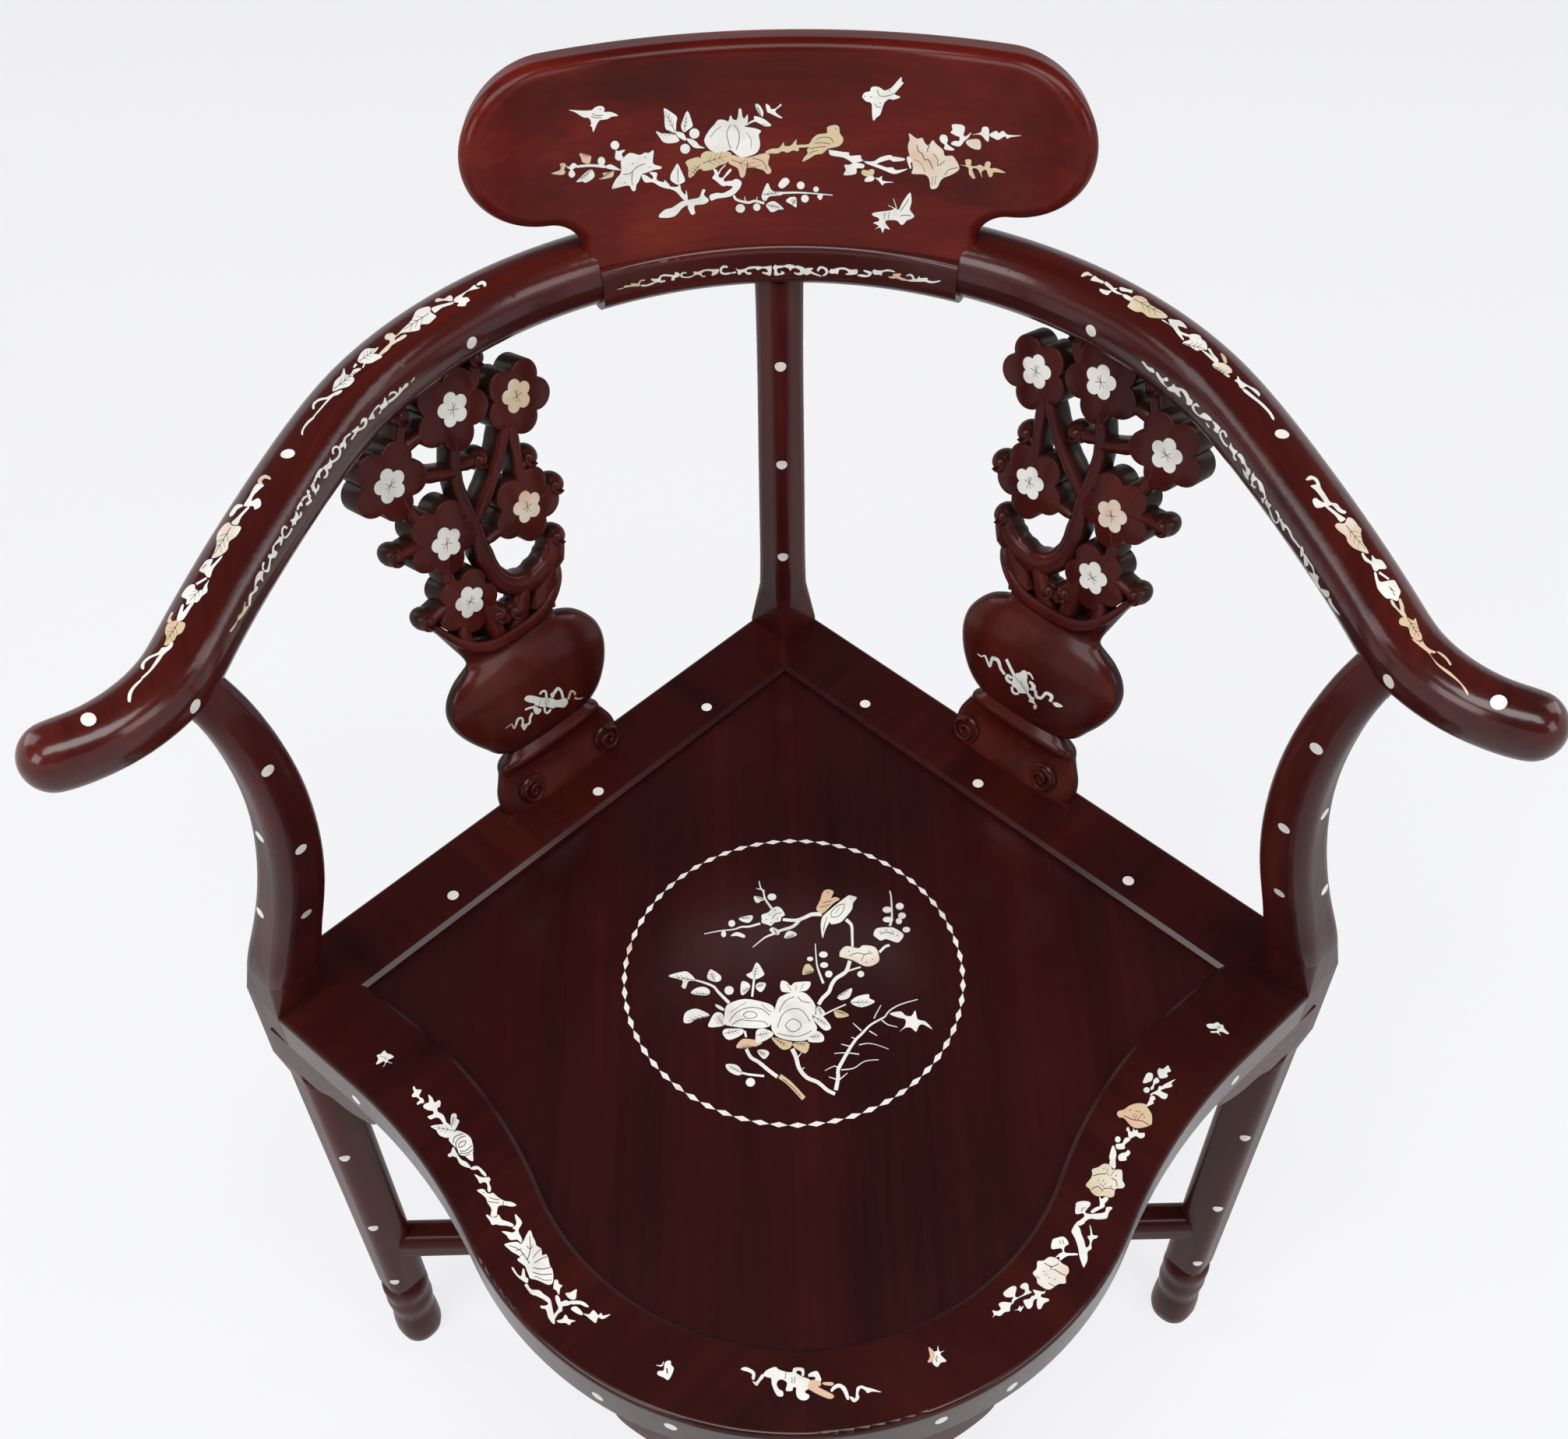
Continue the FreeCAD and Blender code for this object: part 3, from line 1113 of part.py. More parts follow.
post_side_tool = feature("side_post_tool", side_raw)
post_side_tool_left = document.addObject("Part::Mirroring", "side_post_tool_left")
post_side_tool_left.Source = post_side_tool
post_side_tool_left.Normal = Vector(1, 0, 0)
side_bar_cut = reduced("side_bar_coped", side_bar, post_side_tool, post_side_tool_left, lap_low)
keep("stretcher_side", united("side_bar_final", side_bar_cut, bar_tenon_side, bar_tenon_side_left))
front_leg_tool = feature("front_leg_tool", front_raw)
back_post_tool = feature("back_post_tool", back_raw)
long_bar_cut = reduced("long_bar_coped", long_bar, front_leg_tool, back_post_tool, lap_top)
keep("stretcher_front_back", united("long_bar_final", long_bar_cut, bar_tenon_front, bar_tenon_back))

for name, solid, tongue, post in (
        ("bracket_back", rear_bracket, tongue_rear, back_raw),
        ("bracket_side_back", side_back_bracket, tongue_side_back, side_raw),
        ("bracket_side_front", side_front_bracket, tongue_side_front, side_raw),
        ("bracket_front", front_bracket, tongue_front, front_raw)):
    blank = feature(name + "_blank", biggest(solid.cut(post)))
    right = keep(name + "_right", united(name + "_final", blank, tongue))
    mirrored(name + "_left", right)

# Checks, then the files
document.recompute()
for item in document.Objects:
    if "Invalid" in item.State or "Error" in item.State:
        raise RuntimeError("%s is %s" % (item.Label, item.State))
os.makedirs("parts", exist_ok=True)
for name, item in sorted(pieces.items()):
    shape = item.Shape
    if shape.isNull() or not shape.isValid() or not shape.Solids:
        raise RuntimeError(name + " has no valid solid")
    shape.exportStep("parts/%s.step" % name)
    box = shape.BoundBox
    print("%-24s %2d solids %9.0f mm3  x %7.1f %7.1f  y %7.1f %7.1f  z %6.1f %6.1f" % (
        name, len(shape.Solids), shape.Volume, box.XMin, box.XMax, box.YMin, box.YMax, box.ZMin, box.ZMax))
print(len(pieces), "nodes")
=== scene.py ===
import bmesh
import bpy
import math
from collections import namedtuple
from mathutils import Matrix, Vector
from mathutils.bvhtree import BVHTree
from mathutils.geometry import interpolate_bezier


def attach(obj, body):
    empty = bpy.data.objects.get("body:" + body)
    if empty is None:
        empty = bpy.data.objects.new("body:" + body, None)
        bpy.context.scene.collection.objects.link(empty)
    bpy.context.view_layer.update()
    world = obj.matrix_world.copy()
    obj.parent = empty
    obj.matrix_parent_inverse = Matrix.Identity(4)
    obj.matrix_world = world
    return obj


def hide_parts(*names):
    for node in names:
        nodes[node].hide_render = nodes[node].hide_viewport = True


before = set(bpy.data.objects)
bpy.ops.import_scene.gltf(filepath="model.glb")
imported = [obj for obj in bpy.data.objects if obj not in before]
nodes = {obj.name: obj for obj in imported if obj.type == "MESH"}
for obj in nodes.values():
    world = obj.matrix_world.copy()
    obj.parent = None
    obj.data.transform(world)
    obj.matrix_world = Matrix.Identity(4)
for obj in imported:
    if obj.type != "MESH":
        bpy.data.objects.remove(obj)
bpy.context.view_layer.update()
MM = 0.001

# The photograph's frame and the camera fitted to it
PHOTO_WIDTH, PHOTO_HEIGHT = 2013, 1848
FOCAL_PIXELS = 2302.5
SENSOR_WIDTH = 36.0
CAMERA_PLACE = Vector((-0.0100, -0.6276, 1.3417))
YAW, PITCH, ROLL = (math.radians(a) for a in (-0.60, -47.927, -0.754))
CAMERA_TURN = (Matrix.Rotation(YAW, 3, "Z") @ Matrix.Rotation(math.pi / 2 + PITCH, 3, "X")
               @ Matrix.Rotation(ROLL, 3, "Z"))


def make_camera():
    data = bpy.data.cameras.new("view")
    data.sensor_fit = "HORIZONTAL"
    data.sensor_width = SENSOR_WIDTH
    data.lens = FOCAL_PIXELS * SENSOR_WIDTH / PHOTO_WIDTH
    data.clip_start = 0.01
    camera = bpy.data.objects.new("view", data)
    camera.matrix_world = Matrix.Translation(CAMERA_PLACE) @ CAMERA_TURN.to_4x4()
    bpy.context.scene.collection.objects.link(camera)
    bpy.context.scene.camera = camera


# Material building: a value wraps a socket, and arithmetic on values adds Math nodes
class Value:
    def __init__(self, paint, socket):
        self.paint = paint
        self.socket = socket

    def __add__(self, other):
        return self.paint.maths("ADD", self, other)

    __radd__ = __add__

    def __sub__(self, other):
        return self.paint.maths("SUBTRACT", self, other)

    def __rsub__(self, other):
        return self.paint.maths("SUBTRACT", other, self)

    def __mul__(self, other):
        return self.paint.maths("MULTIPLY", self, other)

    __rmul__ = __mul__

    def __pow__(self, other):
        return self.paint.maths("POWER", self, other)


class Paint:
    """One material, with its Principled shader and the nodes that feed it."""

    def __init__(self, name, **constants):
        self.material = bpy.data.materials.new(name)
        self.material.use_nodes = True
        self.tree = self.material.node_tree
        self.tree.nodes.clear()
        self.shader = self.tree.nodes.new("ShaderNodeBsdfPrincipled")
        self.output = self.tree.nodes.new("ShaderNodeOutputMaterial")
        self.tree.links.new(self.shader.outputs[0], self.output.inputs["Surface"])
        for socket, constant in constants.items():
            self.set(socket.replace("_", " "), constant)

    def feed(self, target, value):
        """Links a value to a socket, or sets a constant there."""
        if isinstance(value, Value):
            self.tree.links.new(value.socket, target)
        elif isinstance(value, tuple) and len(value) == 3 and len(target.default_value) == 4:
            target.default_value = (*value, 1.0)
        else:
            target.default_value = value

    def set(self, socket, value):
        self.feed(self.shader.inputs[socket], value)
        return self

    def node(self, kind, output=0, settings=None, **inputs):
        """Any node: its settings are set first, then its sockets, by name or as n0, n1 and so on."""
        made = self.tree.nodes.new("ShaderNode" + kind)
        for key, setting in (settings or {}).items():
            if key == "stops":
                ramp = made.color_ramp
                while len(ramp.elements) < len(setting):
                    ramp.elements.new(0.5)
                for element, (place, colour) in zip(ramp.elements, setting):
                    element.position = place
                    element.color = (*(colour if isinstance(colour, tuple) else (colour,) * 3), 1.0)
            else:
                setattr(made, key, setting)
        for key, value in inputs.items():
            numbered = key[0] == "n" and key[1:].isdigit()
            socket = int(key[1:]) if numbered else key.replace("_", " ")
            self.feed(made.inputs[socket], value)
        return Value(self, made.outputs[output])

    def maths(self, operation, a, b=0.0):
        return self.node("Math", settings={"operation": operation}, n0=a, n1=b)

    def clamp(self, value):
        return self.node("Clamp", Value=value)

    def place(self):
        return self.node("TexCoord", output="Object")

    def attribute(self, name):
        return self.node("Attribute", output="Fac", settings={"attribute_name": name})

    def mapped(self, turn=(0, 0, 0), scale=(1, 1, 1), shift=(0, 0, 0), place=None):
        return self.node("Mapping", Vector=place or self.place(), Location=shift, Rotation=turn, Scale=scale)

    def noise(self, vector, scale, detail, roughness=0.5):
        return self.node("TexNoise", Vector=vector, Scale=scale, Detail=detail, Roughness=roughness)

    def ramp(self, value, stops):
        return self.node("ValToRGB", settings={"stops": stops}, Fac=value)

    def blend(self, share, a, b):
        return self.node("Mix", output=2, settings={"data_type": "RGBA"}, n0=share, n6=a, n7=b)

    def bump(self, height, strength, distance):
        self.set("Normal", self.node("Bump", Strength=strength, Distance=distance, Height=height))
        return self


# Lacquered rosewood: streaks along the grain, a dark mottle, and a clear gloss over it
GRAIN_ALONG = {"x": (0, 0, 0), "y": (0, 0, math.radians(90)), "z": (0, math.radians(90), 0),
               "right": (0, 0, math.radians(45)), "left": (0, 0, math.radians(-45))}
YOKE_CENTER_Y, YOKE_RADIUS = 0.027, 0.2475
BROAD_STRETCH, FINE_STRETCH = 0.055, 0.03
# Painted shade: the dark brown that carved faces turned away from the sitter are blended towards
CARVED_SIDE_SHADE = (0.016, 0.0085, 0.0065)


def yoke_grain(paint):
    """Coordinates that run round the circle of the yoke, so that the grain follows the bent arms."""
    spot = paint.mapped(shift=(0, -YOKE_CENTER_Y, 0))
    apart = paint.node("SeparateXYZ", Vector=spot)
    x, y, z = (Value(paint, apart.socket.node.outputs[i]) for i in range(3))
    around = paint.node("Math", settings={"operation": "ARCTAN2"}, n0=x, n1=y)
    return paint.node("CombineXYZ", X=around * YOKE_RADIUS, Y=(x * x + y * y) ** 0.5, Z=z)


def rosewood(name, dark, middle, light, grain="x", streak=1.0, shine=0.9, carved=False):
    """Three tones of the wood, the way its grain runs, and how much clear gloss lies over it. On carved
    wood the faces that turn away from the sitter get less gloss and a painted shade, darker and browner."""
    paint = Paint(name, Coat_Roughness=0.17, Coat_IOR=1.5, Coat_Weight=shine, Specular_IOR_Level=0.05)
    along = yoke_grain(paint) if grain == "yoke" else paint.mapped(turn=GRAIN_ALONG[grain])
    stretched = paint.mapped(scale=(BROAD_STRETCH, 1, 1), place=along)
    broad = paint.noise(stretched, scale=34 * streak, detail=5, roughness=0.62)
    stretched = paint.mapped(scale=(FINE_STRETCH, 1, 1), place=along)
    fine = paint.noise(stretched, scale=210, detail=4, roughness=0.6)
    mottle = paint.noise(along, scale=9, detail=3)
    mixed = broad * 0.55 + mottle * 0.3 + fine * 0.15
    colour = paint.ramp(mixed, [(0.36, dark), (0.52, middle), (0.68, light)])
    if carved:
        # Painted shade on the carved faces turned from the sitter, broken up a little by the grain; these
        # faces also lose gloss
        side = paint.clamp(paint.attribute("side") * 1.1 + (broad - 0.5) * 0.5)
        colour = paint.blend(side * 0.9, colour, CARVED_SIDE_SHADE)
        paint.set("Coat Weight", shine - side * (shine / 2))
    paint.set("Base Color", colour)
    paint.set("Roughness", paint.ramp(fine, [(0.3, 0.38), (0.7, 0.48)]))
    return paint.bump(fine * 0.5 + broad * 0.5, strength=0.04, distance=0.0004).material


WOOD_CARVED = ((0.030, 0.0034, 0.0026), (0.062, 0.0068, 0.0048), (0.105, 0.0130, 0.0080))
WOOD_RAIL = ((0.018, 0.0023, 0.0020), (0.031, 0.0036, 0.0029), (0.052, 0.0062, 0.0042))
WOOD_HEAD = ((0.045, 0.0030, 0.0020), (0.103, 0.0072, 0.0040), (0.175, 0.0190, 0.0080))
WOOD_ARM = ((0.026, 0.0028, 0.0022), (0.052, 0.0052, 0.0038), (0.092, 0.0105, 0.0060))
WOOD_LEG = ((0.026, 0.0034, 0.0028), (0.052, 0.0068, 0.0056), (0.095, 0.0130, 0.0092))
WOOD_PANEL = ((0.016, 0.0020, 0.0018), (0.027, 0.0031, 0.0027), (0.041, 0.0050, 0.0040))

materials = {
    "arm": rosewood("rosewood_arm", *WOOD_ARM, grain="yoke", shine=0.7),
    "head": rosewood("rosewood_headboard", *WOOD_HEAD, streak=0.8, shine=0.25),
    "yoke": rosewood("rosewood_middle_rail", *WOOD_ARM, grain="yoke", shine=0.6),
    "panel": rosewood("rosewood_panel", *WOOD_PANEL, grain="y", streak=0.7),
    "carved": rosewood("rosewood_carved", *WOOD_CARVED, grain="z", shine=0.28, carved=True),
}
for grain in ("x", "y", "z"):
    materials["leg_" + grain] = rosewood("rosewood_" + grain, *WOOD_LEG, grain=grain, shine=0.25)
for grain in ("right", "left"):
    materials["rail_" + grain] = rosewood("rosewood_rail_" + grain, *WOOD_RAIL, grain=grain, shine=0.55)


def bare_wood():
    """The wood under the seat and inside the joints, without lacquer."""
    paint = Paint("bare_wood", Roughness=0.7)
    grain = paint.noise(paint.mapped(scale=(0.05, 1, 1)), scale=90, detail=4, roughness=0.55)
    tones = [(0.3, (0.10, 0.045, 0.025)), (0.7, (0.21, 0.10, 0.055))]
    return paint.set("Base Color", paint.ramp(grain, tones)).material


PEARL_TONES = [(0.30, (0.70, 0.68, 0.63)), (0.46, (0.84, 0.82, 0.77)), (0.70, (0.93, 0.91, 0.86))]
PEARL_GOLD_AND_PEACH = [(0.42, (0.62, 0.47, 0.22)), (0.58, (0.72, 0.42, 0.24))]
PEARL_STREAK = (0.46, 0.42, 0.38)


def mother_of_pearl(name, tinted):
    """Milky white with clouds of cool grey, finely lined; a plate's tint share turns it golden or peach."""
    paint = Paint(name, Roughness=0.25, Coat_Weight=0.7, Coat_Roughness=0.06, Specular_IOR_Level=0.5)
    spot = paint.place()
    base = paint.ramp(paint.noise(spot, scale=55, detail=3), PEARL_TONES)
    patch = paint.noise(paint.mapped(shift=(3.1, 1.7, 0.4)), scale=48, detail=2)
    if tinted:
        share = paint.clamp((paint.attribute("tint") * 1.7 - 0.6 + patch * 0.9 - 0.35) * 2.2)
    else:
        share = paint.clamp((patch - 0.60) * 5)
    warm = paint.ramp(paint.noise(spot, scale=30, detail=2), PEARL_GOLD_AND_PEACH)
    lines = paint.noise(paint.mapped(turn=(0.3, 0.5, 0.9), scale=(0.12, 1, 1)), scale=900, detail=2)
    streaked = paint.blend(lines * 0.16, paint.blend(share * 0.85, base, warm), PEARL_STREAK)
    return paint.set("Base Color", streaked).material


materials["bare"] = bare_wood()
materials["shell"] = mother_of_pearl("mother_of_pearl", tinted=False)
materials["inlay"] = mother_of_pearl("mother_of_pearl_inlay", tinted=True)
materials["filler"] = Paint("dark_lac", Base_Color=(0.012, 0.006, 0.005), Roughness=0.45).material

NODE_FINISH = {
    "back_rail_left": "rail_right", "back_rail_right": "rail_left", "front_rail_left": "rail_left",
    "front_rail_right": "rail_right", "back_post": "leg_z", "side_post_left": "leg_z",
    "side_post_right": "leg_z", "front_leg": "leg_z", "stretcher_side": "leg_x",
    "stretcher_front_back": "leg_y", "arm_left": "arm", "arm_right": "arm", "yoke_center": "yoke",
    "headboard": "head", "seat_panel": "panel", "splat_left": "carved", "splat_right": "carved",
    "medallion_ring": "shell", "dots_arms": "shell", "dots_posts": "shell", "dots_rails": "shell",
    "splat_blossoms_left": "shell", "splat_blossoms_right": "shell",
}
for name, thing in nodes.items():
    finish = NODE_FINISH.get(name)
    if finish is None:
        finish = "leg_x" if name.startswith("bracket") else "bare"
    for slot in thing.material_slots:
        slot.material = materials[finish]


SHARP_ANGLE = math.radians(38)


def add_piece(name, shape, material):
    """A finished bmesh becomes a piece that rides on the chair."""
    mesh = bpy.data.meshes.new(name)
    shape.to_mesh(mesh)
    shape.free()
    mesh.materials.append(material)
    for polygon in mesh.polygons:
        polygon.use_smooth = True
    mesh.set_sharp_from_angle(angle=SHARP_ANGLE)
    piece = bpy.data.objects.new(name, mesh)
    bpy.context.scene.collection.objects.link(piece)
    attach(piece, "root")
    return piece


# Inlay: thin plates of shell, each in a rim of dark lac. The outlines are in pixels of the photograph, and a
# plate lies where the camera's rays through them meet the wood. Plates that overlap differ a little in height.
LAC_TOP, PLATE_TOP, LINE_TOP = 0.04 * MM, 0.10 * MM, 0.16 * MM
PLATE_STEP, PLATE_STEPS = 0.003 * MM, 9
PLATE_ROOT = 0.3 * MM
LAC_RIM = 0.75
OVAL_SIDES = 14
REACH_SLACK = 0.06
# Shares of a leaf's length: the places of its midrib, and the roots, rise and reach of its side veins
MIDRIB = (0.06, 0.5, 0.86)
VEIN_ROOTS, VEIN_RISE, VEIN_REACH = (0.25, 0.42, 0.59), 0.16, 0.42


class Carrier:
    """The surfaces that a photo pixel's ray meets first."""

    def __init__(self, *things):
        corners, faces = [], []
        for thing in things:
            start = len(corners)
            corners += [vertex.co.copy() for vertex in thing.data.vertices]
            faces += [[start + index for index in polygon.vertices] for polygon in thing.data.polygons]
        self.tree = BVHTree.FromPolygons(corners, faces)
        self.missed = 0

    def meet(self, x, y, reach):
        """The surface's point under a photo pixel, its normal and its distance. Where the ray misses the wood,
        or meets it far from the reach of the plate's middle, the nearest point stands in."""
        ray = CAMERA_TURN @ Vector((x - PHOTO_WIDTH / 2, PHOTO_HEIGHT / 2 - y, -FOCAL_PIXELS)).normalized()
        spot, normal, _, distance = self.tree.ray_cast(CAMERA_PLACE, ray)
        if spot is None or (reach and abs(distance - reach) > REACH_SLACK):
            self.missed += 1
            spot, normal, _, _ = self.tree.find_nearest(CAMERA_PLACE + ray * (reach or 1.0))
        return spot, normal, (spot - CAMERA_PLACE).length


def curve_through(points, closed):
    """A smooth line through the points, three steps to each stretch."""
    spots = [Vector((x, y, 0)) for x, y in points]
    count = len(spots)
    line = []
    for i in range(count if closed else count - 1):
        a, b = spots[i], spots[(i + 1) % count]
        before = spots[i - 1] if closed or i else a
        after = spots[(i + 2) % count] if closed or i + 2 < count else b
        line += interpolate_bezier(a, a + (b - before) / 6, b - (after - a) / 6, b, 4)[:-1]
    return line if closed else line + [spots[-1]]


def grown(line, distance):
    """A closed outline moved outwards by a distance."""
    area = sum(a.x * b.y - a.y * b.x for a, b in zip(line, line[1:] + line[:1]))
    side = distance if area > 0 else -distance
    moved = []
    for i, spot in enumerate(line):
        along = (line[(i + 1) % len(line)] - line[i - 1]).normalized()
        moved.append(spot + Vector((along.y, -along.x, 0)) * side)
    return moved


def band(points, start, end):
    """The outline of a twig or an engraved line: a strip along the points, as wide as start and end say."""
    line = curve_through(points, False)
    left, right = [], []
    for i, spot in enumerate(line):
        along = (line[min(i + 1, len(line) - 1)] - line[max(i - 1, 0)]).normalized()
        half = Vector((along.y, -along.x, 0)) * (start + (end - start) * i / (len(line) - 1)) / 2
        left.append(spot + half)
        right.append(spot - half)
    return left + right[::-1]


def oval(x, y, across, high):
    """The outline of a bud or a dot."""
    return [Vector((x + across * math.cos(a), y + high * math.sin(a), 0))
            for a in (math.tau * i / OVAL_SIDES for i in range(OVAL_SIDES))]


# What is drawn on one part: the rows of its shapes, the photo pixel of their corner, and the share of a pixel
# that their points are counted in
Drawing = namedtuple("Drawing", "corner unit rows")
FIFTH, NINTH, TENTH, TWENTIETH = 1 / 5, 1 / 9, 1 / 10, 1 / 20


class Inlay:
    """All the plates, their lac and the lines engraved in them, on one part of the chair."""

    def __init__(self, name, carrier, cell):
        self.name, self.carrier, self.cell = name, carrier, cell
        self.plates, self.lac = bmesh.new(), bmesh.new()
        self.plates.faces.layers.float.new("tint")
        self.count = 0

    def set_in(self, outline, top, target, tint=0.0):
        """Cuts the flat outline into cells, gives it thickness and lays it on the carrier."""
        shape = bmesh.new()
        shape.faces.new([shape.verts.new(spot) for spot in outline])
        for axis in (Vector((1, 0, 0)), Vector((0, 1, 0))):
            low, high = min(spot.dot(axis) for spot in outline), max(spot.dot(axis) for spot in outline)
            for step in range(int(low // self.cell) + 1, int(high // self.cell) + 1):
                everything = shape.verts[:] + shape.edges[:] + shape.faces[:]
                cut = axis * step * self.cell
                bmesh.ops.bisect_plane(shape, geom=everything, plane_co=cut, plane_no=axis)
        made = bmesh.ops.extrude_face_region(shape, geom=shape.faces[:])["geom"]
        raised = [item for item in made if isinstance(item, bmesh.types.BMVert)]
        bmesh.ops.translate(shape, verts=raised, vec=(0, 0, 1))
        middle = sum(outline, Vector()) / len(outline)
        reach = self.carrier.meet(middle.x, middle.y, None)[2]
        for vertex in shape.verts:
            spot, normal, _ = self.carrier.meet(vertex.co.x, vertex.co.y, reach)
            vertex.co = spot + normal * (top if vertex.co.z > 0.5 else -PLATE_ROOT)
        bmesh.ops.recalc_face_normals(shape, faces=shape.faces[:])
        if target is self.plates:
            layer = shape.faces.layers.float.new("tint")
            for face in shape.faces:
                face[layer] = tint
        loose = bpy.data.meshes.new("loose")
        shape.to_mesh(loose)
        shape.free()
        target.from_mesh(loose)
        bpy.data.meshes.remove(loose)

    def plate(self, outline, tint):
        """A plate of shell in its rim of lac."""
        self.count += 1
        self.set_in(outline, PLATE_TOP + PLATE_STEP * (self.count % PLATE_STEPS), self.plates, tint)
        self.set_in(grown(outline, LAC_RIM), LAC_TOP, self.lac)

    def line(self, outline):
        """A line filled with lac, engraved in the plates."""
        self.set_in(outline, LINE_TOP, self.lac)

    def leaf(self, points, tint):
        """A leaf from its stalk, the first point, with a midrib and side veins engraved in it."""
        self.plate(curve_through(points, True), tint)
        spots = [Vector((x, y, 0)) for x, y in points]
        stalk = spots[0]
        tip = max(spots, key=lambda spot: (spot - stalk).length)
        along = tip - stalk
        across = Vector((along.y, -along.x, 0))
        area = abs(sum(a.x * b.y - a.y * b.x for a, b in zip(spots, spots[1:] + spots[:1]))) / 2
        wide = area / along.length / along.length
        self.line(band([(stalk + along * share).xy for share in MIDRIB], 0.8, 0.4))
        for share in VEIN_ROOTS:
            for side in (-1, 1):
                root = stalk + along * share
                end = root + along * VEIN_RISE + across * side * wide * VEIN_REACH
                self.line(band([root.xy, end.xy], 0.6, 0.3))

    def draw(self, drawing):
        """Each row is a shape: its kind, its widths, its golden tint if it has one, then its points."""
        (left, top), unit = drawing.corner, drawing.unit
        for row in drawing.rows.strip().splitlines():
            kind, *words = row.split()
            numbers = [float(word) for word in words if "," not in word]
            points = [(left + int(x) * unit, top + int(y) * unit)
                      for x, y in (word.split(",") for word in words if "," in word)]
            tints = numbers if kind in ("plate", "leaf") else numbers[2:]
            tint = tints[0] if tints else 0
            if kind == "plate":
                self.plate(curve_through(points, True), tint)
            elif kind == "leaf":
                self.leaf(points, tint)
            elif kind == "twig":
                self.plate(band(points, numbers[0] * unit, numbers[1] * unit), tint)
            elif kind == "bud":
                self.plate(oval(*points[0], numbers[0] * unit, numbers[1] * unit), tint)
            elif kind == "line":
                self.line(band(points, numbers[0] * unit, numbers[-1] * unit))
            elif kind == "dots":
                for x, y in points:
                    self.line(oval(x, y, numbers[0] * unit, numbers[0] * unit))
        return self

    def finish(self):
        print(self.name, "shapes", self.count, "beside the surface", self.carrier.missed)
        add_piece("inlay_" + self.name, self.plates, materials["inlay"])
        add_piece("lac_" + self.name, self.lac, materials["filler"])


# Splats: a vase with a blossoming tree, carved in the splat's own plane, in millimetres:
# u across, v up, n towards the sitter, with the splat's face at n = 0
SPLAT_LEAN = math.radians(13.2)
SPLAT_FOOT = Vector((139.5, 130, 450))
SPLAT_MIDDLE = -9.5
# Each blossom's place and its size beside the common one
BLOSSOMS = [(-48, 262, 1.04), (-4, 276, 1.14), (46, 257, 1.10), (-32, 197, 1.10), (27, 208, 1.08),
            (26, 162, 0.96)]
BLOSSOM_REACH, PETAL_RADIUS = 12.6, 9.6
BLOSSOM_BACK, BLOSSOM_DEEP, BLOSSOM_EDGE, BLOSSOM_SIDES = -18, 17, 1.3, 70
BUDS = [(57, 213), (-13, 239), (-45, 223), (-57, 197), (-47, 165), (53, 164), (26, 288), (-30, 296),
        (8, 140), (-3, 136)]
# A bud's radius and depth, and its petal: the share of the radius that it stands at, and its turn in degrees
BUD_RADIUS, BUD_DEPTH = 7.2, 9.6
BUD_PETAL, BUD_PETAL_TURN = 0.62, range(-120, 100, 30)
# Each branch's width at its start and end, and the places it goes through
BRANCHES = [
    (23, 8.5, [(-46, 166), (-40, 154), (-27, 148), (-13, 149), (0, 161), (4, 182), (4, 202), (6, 222),
               (5, 240), (-1, 258)]),
    (11, 9, [(3, 205), (-10, 217), (-21, 229), (-31, 243), (-38, 256)]),
    (9, 9, [(-30, 203), (-36, 221), (-38, 240), (-40, 254)]),
    (10, 9, [(8, 272), (30, 270), (40, 262)]),
    (9, 9, [(5, 240), (20, 246), (33, 252)]),
    (9, 9, [(42, 247), (40, 232), (34, 216)]),
    (9, 8, [(0, 190), (-14, 192), (-26, 195)]),
    (9, 9, [(3, 200), (16, 204)]),
    (11, 10, [(26, 200), (32, 184), (28, 170)]),
    (13, 10, [(24, 162), (14, 150), (4, 134)]),
    (10, 9, [(28, 166), (40, 166), (51, 164)]),
    (10, 9, [(34, 210), (46, 212), (57, 213)]),
    (11, 10, [(-34, 196), (-46, 197), (-56, 197)]),
    (9, 8, [(-36, 221), (-44, 223)]),
    (9, 9, [(26, 288), (32, 276), (40, 264)]),
    (11, 9, [(-28, 296), (-24, 284), (-10, 276)]),
    (10, 8, [(-13, 239), (-4, 241), (4, 243)]),
    (11, 9, [(34, 130), (34, 144), (28, 158)]),
    (17, 20, [(-36, 150), (-29, 139), (-22, 126)]),
    (12, 15, [(-13, 146), (-7, 135), (-1, 122)]),
    (11, 14, [(17, 152), (14, 138), (13, 122)]),
]
BRANCH_DEPTH, KNOT_SWELL = 8.6, 0.08
# Height, left and right reach and half thickness of each section, and how far its left and right ends rise
FOOT_SECTIONS = [(-7, -45, 46, 9.5), (2, -47, 50, 9.2), (10, -47, 51, 7.6), (18, -46, 50, 6.0),
                 (25, -43, 47, 5.8), (31, -40, 44, 7.2), (34, -39, 43, 9.6), (37, -38, 41, 10),
                 (40, -34, 36, 8.6), (44, -30, 30, 6.5)]
BODY_SECTIONS = [(40, -25, 19, 3), (42, -36, 31, 6.5), (48, -44, 41, 9.6), (56, -50, 47, 11.8),
                 (66, -55, 54, 13.2), (78, -58, 60, 13.8), (90, -57, 62, 13.6), (100, -52, 59, 12.4),
                 (108, -45, 52, 10.4), (113, -37, 44, 8.2), (116, -31, 38, 6.8, 0, 1),
                 (118, -31, 38, 6.8, 3, 5), (119.5, -37, 43, 8.4, 10, 16), (120.5, -43, 49, 10, 18, 30),
                 (122, -44.5, 51, 10.8, 19.5, 33), (127.5, -44.5, 51, 10.8, 19.5, 33),
                 (128.5, -43, 49.5, 9.4, 18.5, 32), (127, -40.5, 47, 7.8, 17, 29), (121, -33, 39, 4.6, 9, 15)]
HEAD_SECTIONS = [(282, -12, 12, 6), (292, -16, 14, 7.4), (304, -17, 15, 7.4)]
